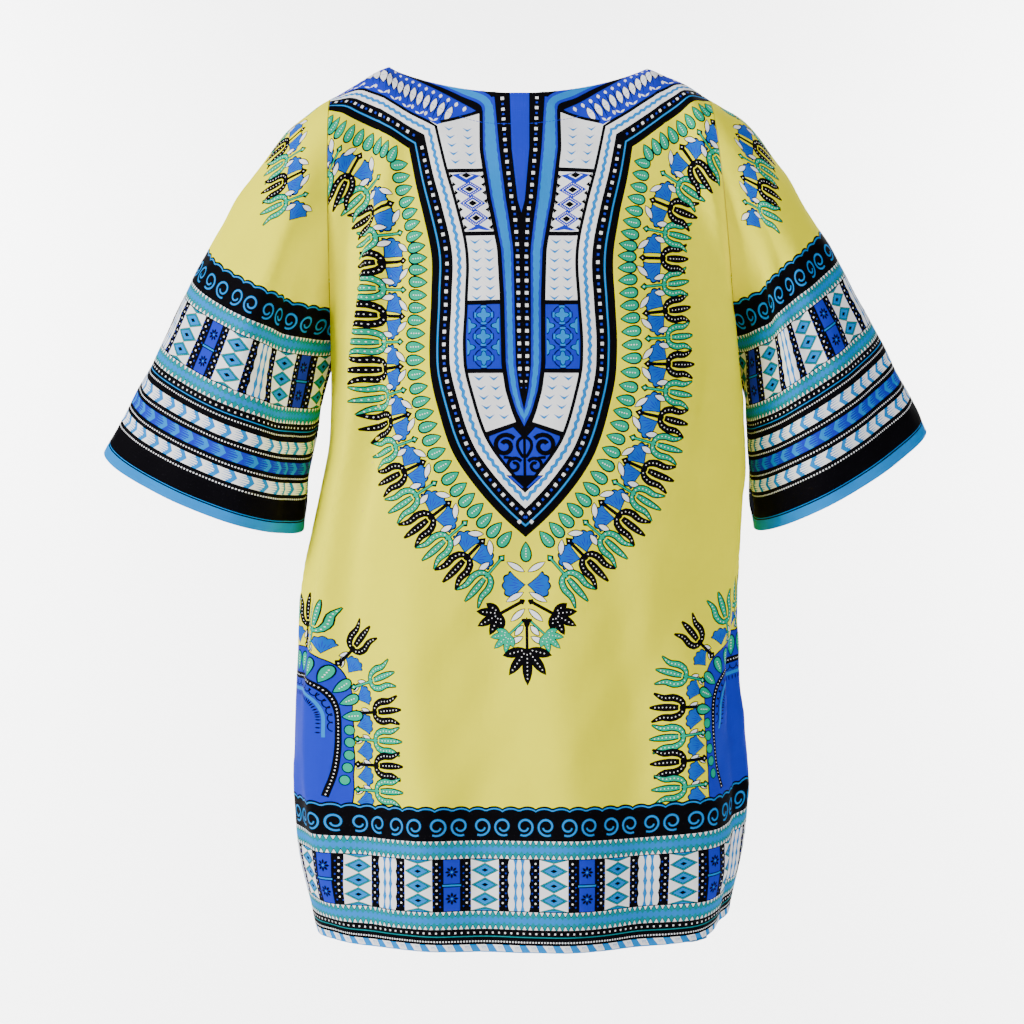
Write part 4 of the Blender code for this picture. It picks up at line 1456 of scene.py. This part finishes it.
def inks_at(rim, triangles, inks):
    """The ink of the triangle behind each rim edge, given twice for the two halves of its joint."""
    edges, base = edges_of(triangles), triangles.max() + 1
    order = np.lexsort((edges[:, 1], edges[:, 0]))
    key = edges[:, 0] * base + edges[:, 1]
    place = np.searchsorted(key[order], rim[:, 0] * base + rim[:, 1])
    return np.tile(np.tile(inks, 3)[order[place]], 2)


def node(tree, kind, links=(), **settings):
    """Adds one node: its settings by name, then links as (input, output socket) pairs."""
    made = tree.nodes.new(kind)
    for key, value in settings.items():
        if hasattr(made, key):
            setattr(made, key, value)
        else:
            made.inputs[key.replace("_", " ")].default_value = value
    for target, source in links:
        tree.links.new(made.inputs[target], source)
    return made


# The real threads are 0.35 mm apart, too fine to show, so they are drawn at 1.6 mm.
# The slubs, the thicker stretches of a thread, are a few centimetres long.
THREAD_PITCH, SLUB_ACROSS, SLUB_DOWN = 0.0016, 0.026, 0.022
THREAD_DEPTH, THREAD_STRENGTH = 0.00022, 0.9


def printed_cotton(name, colour, roughness):
    """Plain-woven cotton, screen printed: quite matt, with slubs in both ways."""
    material = bpy.data.materials.new(name)
    material.use_nodes = True
    tree = material.node_tree
    shader = tree.nodes["Principled BSDF"]
    shader.inputs["Base Color"].default_value = hex_colour(colour)
    shader.inputs["Roughness"].default_value = roughness
    shader.inputs["Specular IOR Level"].default_value = 0.05
    place = node(tree, "ShaderNodeUVMap", uv_map="cut")
    heights = []
    for scale in ((1 / SLUB_DOWN, 1 / THREAD_PITCH, 1), (1 / THREAD_PITCH, 1 / SLUB_ACROSS, 1)):
        stretched = node(tree, "ShaderNodeMapping", [("Vector", place.outputs["UV"])], Scale=scale)
        heights.append(node(tree, "ShaderNodeTexNoise", [("Vector", stretched.outputs["Vector"])],
                            Scale=1.0, Detail=2.0, Roughness=0.6))
    both = node(tree, "ShaderNodeMath", [(0, heights[0].outputs["Fac"]), (1, heights[1].outputs["Fac"])],
                operation="ADD")
    bump = node(tree, "ShaderNodeBump", [("Height", both.outputs[0])],
                Strength=THREAD_STRENGTH, Distance=THREAD_DEPTH)
    tree.links.new(shader.inputs["Normal"], bump.outputs["Normal"])
    return material


# Inks as they show in soft daylight, and the paler way they show on the reverse.
COLOURS = (
    ("ground_yellow", "FFF600", "F6E55A"), ("ink_black", "040307", "2E2E38"),
    ("ink_royal", "2032C0", "5A6CD0"), ("ink_sky", "0A84D4", "6AB2E0"),
    ("ink_teal", "00888F", "58B4B8"), ("ink_white", "FCFDFF", "EEF1F5"),
    ("ink_leaf_green", "00AC84", "60C2A6"), ("ink_bloom_blue", "0E5CC8", "74A0DC"),
)
COTTON = [printed_cotton("cotton_" + name, face, 0.82) for name, face, _ in COLOURS]
REVERSE = [printed_cotton("cotton_reverse_" + name, back, 0.88) for name, _, back in COLOURS]


def panel_outline(cut):
    """A panel's flat cut as a closed outline, in millimetres: shoulders, sides and hem."""
    share = np.linspace(-1, 1, OUTLINE_TOP)
    level = np.concatenate([
        np.linspace(0, CHEST, OUTLINE_ARMHOLE), np.linspace(CHEST, HEM, OUTLINE_SIDE)[1:]])
    top = (np.interp(share, cut.share, cut.u[0]) + 1j * np.interp(share, cut.share, cut.v[0])) / MM
    rows = []
    for sign, column in ((1, cut.v[:, -1]), (-1, cut.v[:, 0])):
        v = np.interp(-level, -cut.level, column)
        rows.append((sign * cut.flat_edge(sign, level) + 1j * v) / MM)
    hem = np.linspace(rows[0][-1], rows[1][-1], OUTLINE_HEM)[1:-1]
    return np.concatenate([top, rows[0][1:], hem, rows[1][:0:-1]])


def hem_wall(v, edge):
    """The wall's thickness at each distance down, with an eased step where the cloth is turned in."""
    return (WALL + TURNED_WALL * ease((v - edge + TURNED_IN) / STEP_LENGTH)) * MM


# The wall in millimetres and what a turned edge adds to it. In metres: how deep
# hems and cuffs are turned in, and the length of the step there.
WALL, TURNED_WALL = 0.9, 0.8
TURNED_IN, STEP_LENGTH = 0.020, 1.5 * MM

# Points along a panel's top, above and below the chest at its sides, and along
# its hem. Then, in millimetres, how far above the hem and below the back neckline
# a row of stitches runs and how far the print reaches past each side, and, in
# metres, how far it reaches over the head of a sleeve.
OUTLINE_TOP, OUTLINE_ARMHOLE, OUTLINE_SIDE, OUTLINE_HEM = 161, 61, 91, 100
HEM_STITCHES, FACING_STITCHES = 19.0, 35.0
PRINT_REACH, HEAD_REACH = 315.0, 0.135


def make_panel(name, side):
    """The back or the front."""
    cut = Cut(side)
    outline = panel_outline(cut)

    def drape(u, v):
        share, level = cut.place(u, v)
        share = np.where(np.abs(share) > 0.999, np.sign(share), share)
        calm = ease((1 - np.abs(share)) / 0.05) * ease(-level / 0.02)
        return panel(side, share, level, crumple(u * side, v) * calm)

    shapes = leaned(flower_ring() + neck_print() + mirrored(side_arch()))
    shapes += hem_print(-PRINT_REACH, PRINT_REACH, CUT_LENGTH / MM)
    u = np.linspace(-260, 260, 90)
    shapes += stitches(u + 1j * (CUT_LENGTH / MM - HEM_STITCHES), BLACK)
    if side == BACK:
        top, u = outline[:OUTLINE_TOP], u[15:-15]
        shapes += stitches(u + 1j * (np.interp(u, top.real, top.imag) + FACING_STITCHES), ROYAL)
    return cloth(name, outline, shapes, drape, side, lambda v: hem_wall(v, CUT_LENGTH))


def make_sleeve(name, end):
    """A sleeve, from its armhole seam to its turned cuff."""
    sleeve = Sleeve(end)
    u = np.linspace(-HEAD_REACH, HEAD_REACH, 60)
    head = (u - 1j * sleeve.top_of(u)) / MM + 9j
    past_seam = sleeve.flat_girth * 0.52 / MM
    shapes = head_sprigs(head) + sleeve_print(-past_seam, past_seam)
    return cloth(name, sleeve.outline(), shapes, sleeve.drape, end, lambda v: hem_wall(v, 0.0))


back, front = make_panel("back_panel", BACK), make_panel("front_panel", FRONT)
left, right = make_sleeve("sleeve_left_cloth", -1), make_sleeve("sleeve_right_cloth", 1)
PIECES = ((back, "back", "body_cloth"), (front, "front", "body_cloth"),
          (left, "sleeve_left", "sleeve_cloth"), (right, "sleeve_right", "sleeve_cloth"))
for piece, replaced, slot in PIECES:
    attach(piece, "root")
    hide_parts(replaced)


def make_floor():
    """A pale studio floor that curves up into a wall, well clear of the hem."""
    turn = np.linspace(0, np.pi / 2, 17)
    near, far, low, high, bend = -7.0, 5.6, -1.60, 5.0, 1.6
    y = np.concatenate([[near], far - bend + bend * np.sin(turn), [far]])
    z = np.concatenate([[low], low + bend - bend * np.cos(turn), [high]])
    x = np.linspace(-8, 8, 3)
    grid = np.stack(np.broadcast_arrays(x[None, :], y[:, None], z[:, None]), axis=-1)
    number = np.arange(grid[..., 0].size).reshape(grid.shape[:2])
    faces = np.stack([number[:-1, :-1], number[:-1, 1:], number[1:, 1:], number[1:, :-1]], axis=-1)
    mesh = bpy.data.meshes.new("studio_floor")
    mesh.from_pydata(grid.reshape(-1, 3).tolist(), [], faces.reshape(-1, 4).tolist())
    mesh.shade_smooth()
    # Matt white paper, as studio rolls are.
    paper = bpy.data.materials.new("pale_paper")
    paper.use_nodes = True
    shader = paper.node_tree.nodes["Principled BSDF"]
    shader.inputs["Base Color"].default_value = hex_colour("FCFCFC")
    shader.inputs["Roughness"].default_value = 0.9
    mesh.materials.append(paper)
    floor = bpy.data.objects.new("studio_floor", mesh)
    bpy.context.scene.collection.objects.link(floor)


make_floor()

# The camera stands behind the garment, level with its middle, 3.1 m from the back.
camera = bpy.data.objects.new("camera", bpy.data.cameras.new("camera"))
bpy.context.scene.collection.objects.link(camera)
camera.location = (-0.0064, -3.16, -0.4158)
camera.rotation_euler = (np.pi / 2, 0, 0)
camera.data.sensor_width = 36.0
camera.data.lens = 118.47
bpy.context.scene.camera = camera

# Soft lights: a strong one from the left that brings out the folds, a weak one by
# the camera, one above, one beyond the garment, and two that light the wall.
# Columns: name, place, aim, size in metres, power in watts.
LIGHTS = (
    ("soft_left", (-3.3, -1.7, 1.3), (0, 0, -0.4), 1.0, 230),
    ("soft_right", (2.4, -3.4, -0.1), (0, 0, -0.4), 1.6, 72),
    ("soft_top", (0.2, -0.9, 2.6), (0, 0.1, -0.4), 1.6, 30),
    ("soft_behind", (1.4, 2.8, 1.6), (0, 0, -0.4), 1.6, 70),
    ("wall_left", (-2.6, 4.0, 0.6), (-0.5, 5.6, -0.4), 1.6, 380),
    ("wall_right", (2.6, 4.0, 0.6), (0.5, 5.6, -0.4), 1.6, 380),
)
for name, place, aim, size, power in LIGHTS:
    light = bpy.data.lights.new(name, "AREA")
    light.size, light.energy = size, power
    lamp = bpy.data.objects.new(name, light)
    bpy.context.scene.collection.objects.link(lamp)
    lamp.location = place
    lamp.rotation_euler = (Vector(aim) - Vector(place)).to_track_quat("-Z", "Y").to_euler()
world = bpy.data.worlds.new("studio")
bpy.context.scene.world = world
world.use_nodes = True
backdrop = world.node_tree.nodes["Background"]
backdrop.inputs["Color"].default_value = hex_colour("F6F7FA")
backdrop.inputs["Strength"].default_value = 0.1
